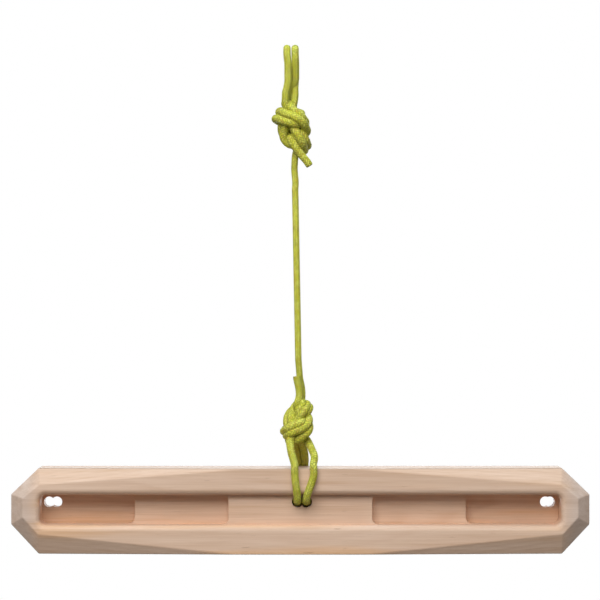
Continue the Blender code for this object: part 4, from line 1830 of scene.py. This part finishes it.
@dataclass
class WovenCord:
    """The whole cord, as stretches that meet inside one another."""

    route: CordRoute
    finish: WovenFinish = field(default_factory=WovenFinish)
    slack_diameter: float = 0.0070
    taut_diameter: float = 0.0062
    knot_diameter: float = 0.0077
    hole_diameter: float = 0.0099
    knot_fade: float = 0.007
    ring_step: float = 0.00045
    sides: int = 30
    tuck: float = 0.0009
    ring_margin: float = 1e-5
    pull_margin: float = 0.025
    pull_fade: float = 0.030
    hole_margin: float = 0.003
    tip_length: float = 0.0022
    tip_share: float = 0.80
    hidden_end_share: float = 0.985
    path_stride: int = 4
    knot_heights: tuple[tuple[float, float], ...] = ((-0.048, -0.100), (-0.322, -0.372))
    cut_heights: tuple[float, ...] = (-0.0890, -0.1290, -0.1780, -0.2700, -0.3290)

    def curve(self, points: Points, out: float, into: float) -> tuple[bpy.types.Object, Points]:
        """Makes the cord's centre line with its thickness at each point.

        Args:
            points: The whole route.
            out: Where the line leaves the upper knot.
            into: Where it enters the lower knot.

        Returns:
            The curve and its points.
        """
        path = resample(points, self.ring_step)
        along = distances(path)
        pulled = np.clip((along - out + self.pull_margin) / self.pull_fade, 0, 1)
        pulled *= np.clip((into + self.pull_margin - along) / self.pull_fade, 0, 1)
        slack = self.slack_radius(path)
        radius = slack + (self.taut_diameter / 2 - slack) * eased(pulled)
        near_tip = np.minimum(along, along[-1] - along) / self.tip_length
        rounded = np.sqrt(np.clip(1 - (1 - np.clip(near_tip, 0, 1)) ** 2, 0, 1))
        radius = radius * (self.tip_share + (1 - self.tip_share) * rounded)
        data = bpy.data.curves.new("cord_line", "CURVE")
        data.dimensions = "3D"
        spline = data.splines.new("POLY")
        spline.points.add(len(path) - 1)
        for target, point, thick in zip(spline.points, path, radius):
            target.co = (*point, 1.0)
            target.radius = thick
        curve = bpy.data.objects.new("cord_line", data)
        bpy.context.scene.collection.objects.link(curve)
        return curve, path

    def slack_radius(self, path: Points) -> Points:
        """Half the thickness of slack cord, which is fuller in the knots and in the board's hole.

        Args:
            path: The whole route.

        Returns:
            A radius for each of its points.
        """
        height = path[:, 2]
        radius = np.full(len(path), self.slack_diameter / 2)
        for top, bottom in self.knot_heights:
            inside = np.clip((top - height) / self.knot_fade, 0, 1)
            inside = inside * np.clip((height - bottom) / self.knot_fade, 0, 1)
            radius += (self.knot_diameter / 2 - radius) * eased(inside)
        board = self.route.board
        middle = board.front_y + (board.centre_pocket_depth + board.thickness) / 2
        half = (board.thickness - board.centre_pocket_depth) / 2
        inside = np.clip((half - np.abs(path[:, 1] - middle)) / self.knot_fade, 0, 1)
        inside = inside * (height < board.centre_hole_z + self.hole_margin)
        return radius + (self.hole_diameter / 2 - radius) * eased(inside)

    def close_ends(self, mesh: bpy.types.Mesh, length: float) -> None:
        """Caps a stretch's open ends, draws the hidden ones in and marks the cord's own tips.

        Args:
            mesh: The stretch's mesh.
            length: The whole cord's length.
        """
        shape = bmesh.new()
        shape.from_mesh(mesh)
        weave = shape.verts.layers.float_vector.get("weave")
        tip = shape.verts.layers.float.new("tip")
        edges = [edge for edge in shape.edges if edge.is_boundary]
        capped = bmesh.ops.holes_fill(shape, edges=edges, sides=0)["faces"]
        for face in capped:
            face.smooth = False
        for vert in shape.verts:
            place = vert[weave].z
            vert[tip] = 1.0 - min(1.0, min(place, length - place) / self.tip_length)
        for face in capped:
            middle = face.calc_center_median()
            place = face.verts[0][weave].z
            at_tip = min(place, length - place) < self.tip_length
            shrink = 1.0 if at_tip else self.hidden_end_share
            for vert in face.verts:
                vert.co = middle + (vert.co - middle) * shrink
        bmesh.ops.recalc_face_normals(shape, faces=shape.faces)
        shape.to_mesh(mesh)
        shape.free()

    def build(self) -> list[bpy.types.Object]:
        """Makes every stretch, dresses it, and puts it in the frame.

        Returns:
            The stretches.
        """
        points, out, into = self.route.whole()
        curve, path = self.curve(points, out, into)
        along = distances(path)
        length = float(along[-1])
        tree = SheathTree().build()
        inputs = {item.name: item.identifier for item in tree.interface.items_tree
                  if item.in_out == "INPUT"}
        finish = self.finish.build("woven_cord")
        cuts = [out + self.route.line_share(z) * (into - out) for z in self.cut_heights]
        pieces = []
        for stretch, start, end in zip(STRETCHES, [0.0, *cuts], [*cuts, length]):
            source = curve.copy()
            source.data = curve.data.copy()
            bpy.context.scene.collection.objects.link(source)
            sheath = source.modifiers.new("sheath", "NODES")
            sheath.node_group = tree
            kept_from = max(0.0, start - self.tuck) - self.ring_margin
            kept_to = min(length, end + self.tuck) + self.ring_margin
            values = (
                ("Sides", self.sides), ("Start", kept_from), ("End", kept_to), ("Finish", finish))
            for name, value in values:
                sheath[inputs[name]] = value
            piece = made_plain(stretch.name, source)
            self.close_ends(piece.data, length)
            self.place(piece, stretch, path[(along >= kept_from) & (along <= kept_to)])
            pieces.append(piece)
        bpy.data.objects.remove(curve, do_unlink=True)
        return pieces

    def place(self, piece: bpy.types.Object, stretch: Stretch, route: Points) -> None:
        """Declares a stretch and lets it follow its bodies.

        Args:
            piece: The stretch's mesh object.
            stretch: What it is.
            route: Its centre line.
        """
        if stretch.exit_at_end:
            route = route[::-1]
        sparse = route[::self.path_stride]
        if (len(route) - 1) % self.path_stride:
            sparse = np.vstack([sparse, route[-1:]])
        measured = float(distances(sparse)[-1])
        diameter = self.slack_diameter if stretch.lie is Lie.HANGING else self.taut_diameter
        if stretch.nodes:
            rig.replaces(piece, *stretch.nodes)
        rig.slot(piece, "cord_sheath")
        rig.cord(
            piece, exit=tuple(float(v) for v in sparse[0]), length=measured, diameter=diameter,
            far_end=stretch.far_end.value, stiffness="limp", lay=stretch.lie.value,
            path=[tuple(float(v) for v in point) for point in sparse])
        if stretch.next_body is None:
            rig.ride(piece, stretch.body)
            return
        line_x = self.route.line_x
        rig.blend(
            piece, stretch.body, stretch.next_body,
            start=(line_x(stretch.bend_from), 0.0, stretch.bend_from),
            end=(line_x(stretch.bend_to), 0.0, stretch.bend_to))


# Studio


@dataclass(frozen=True)
class Lamp:
    """A soft rectangular lamp that points at the board."""

    name: str
    place: tuple[float, float, float]
    size: tuple[float, float]
    power: float
    colour: tuple[float, float, float]
    aim: tuple[float, float, float] = (0.0, 0.0, -0.35)

    def build(self) -> None:
        """Makes the lamp and turns it to the board."""
        data = bpy.data.lights.new(self.name, "AREA")
        data.shape = "RECTANGLE"
        data.size, data.size_y = self.size
        data.energy = self.power
        data.color = self.colour
        lamp = bpy.data.objects.new(self.name, data)
        lamp.location = self.place
        aim = Vector(self.aim) - Vector(self.place)
        lamp.rotation_euler = aim.to_track_quat("-Z", "Y").to_euler()
        bpy.context.scene.collection.objects.link(lamp)


@dataclass
class Studio:
    """Camera, soft lights and a plain pale surround."""

    camera_distance: float = 2.55
    view_width: float = 0.558
    aim_x: float = 0.0082
    aim_z: float = -0.2331
    board_front_y: float = -0.0252
    sensor: float = 36.0
    clip: tuple[float, float] = (0.05, 40.0)
    floor_z: float = -1.25
    floor_half: float = 2.2
    fill_colour: Colour = (0.93, 0.97, 1.0, 1.0)
    fill_strength: float = 0.155
    lamps: tuple[Lamp, ...] = (
        Lamp("key", (-0.40, -1.97, 1.20), (2.4, 1.7), 62.5, (1.0, 0.985, 0.97)),
        Lamp("top", (0.10, -0.45, 2.0), (2.0, 1.4), 30.0, (0.50, 0.765, 1.0)),
        Lamp("back", (0.40, 2.15, -0.25), (2.0, 1.5), 36.0, (0.94, 0.97, 1.0)),
    )

    def camera(self) -> None:
        """Makes the level camera in front of the board."""
        data = bpy.data.cameras.new("camera")
        data.sensor_width = self.sensor
        data.lens = self.sensor * self.camera_distance / self.view_width
        data.clip_start, data.clip_end = self.clip
        camera = bpy.data.objects.new("camera", data)
        camera.location = (self.aim_x, self.board_front_y - self.camera_distance, self.aim_z)
        camera.rotation_euler = (math.radians(90.0), 0.0, 0.0)
        bpy.context.scene.collection.objects.link(camera)
        bpy.context.scene.camera = camera

    def floor(self) -> None:
        """Makes the pale floor far below the board."""
        shape = bmesh.new()
        half = self.floor_half
        corners = [(-half, -half), (half, -half), (half, half), (-half, half)]
        shape.faces.new([shape.verts.new((x, y, self.floor_z)) for x, y in corners])
        floor = piece_of("floor", shape)
        floor.data.materials.append(BackdropFinish().build("pale_floor"))
        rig.stage(floor)

    def surround(self) -> None:
        """Makes a dim world that the camera and reflections see as white."""
        world = bpy.data.worlds.new("surround")
        world.use_nodes = True
        bpy.context.scene.world = world
        world.node_tree.nodes.clear()
        bench = NodeBench(world.node_tree)
        fill, white = (
            bench.add_named("ShaderNodeBackground", {"Color": colour, "Strength": strength})
            for colour, strength in (
                (self.fill_colour, self.fill_strength), ((1.0, 1.0, 1.0, 1.0), 1.0)))
        mixed = bench.add(
            "ShaderNodeMixShader", bench.seen(), fill.outputs[0], white.outputs[0])
        bench.add_named("ShaderNodeOutputWorld", {"Surface": mixed.outputs[0]})

    def build(self) -> None:
        """Makes the camera, the floor, the surround and the lamps."""
        self.camera()
        self.floor()
        self.surround()
        for lamp in self.lamps:
            lamp.build()
        bpy.context.scene.view_settings.view_transform = "Standard"


def as_numbers(bounds: Sequence[Sequence[float]]) -> list[list[float]]:
    """Turns a box into plain lists of numbers."""
    return [[float(value) for value in corner] for corner in bounds]


def main() -> None:
    """Builds the scene and reports each piece."""
    logging.basicConfig(level=logging.INFO, format="%(name)s: %(message)s")
    cad_box = as_numbers(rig.bounds())
    Studio().build()
    board = GripBoard()
    for piece in (*WovenCord(CordRoute(board)).build(), board.build()):
        piece.data.calc_loop_triangles()
        LOG.info("%s: %d triangles", piece.name, len(piece.data.loop_triangles))
    with open(SIZE_FILE, "w", encoding="utf-8") as handle:
        json.dump({"cad": cad_box, "scene": as_numbers(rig.bounds())}, handle)


if __name__ == "__main__":
    main()
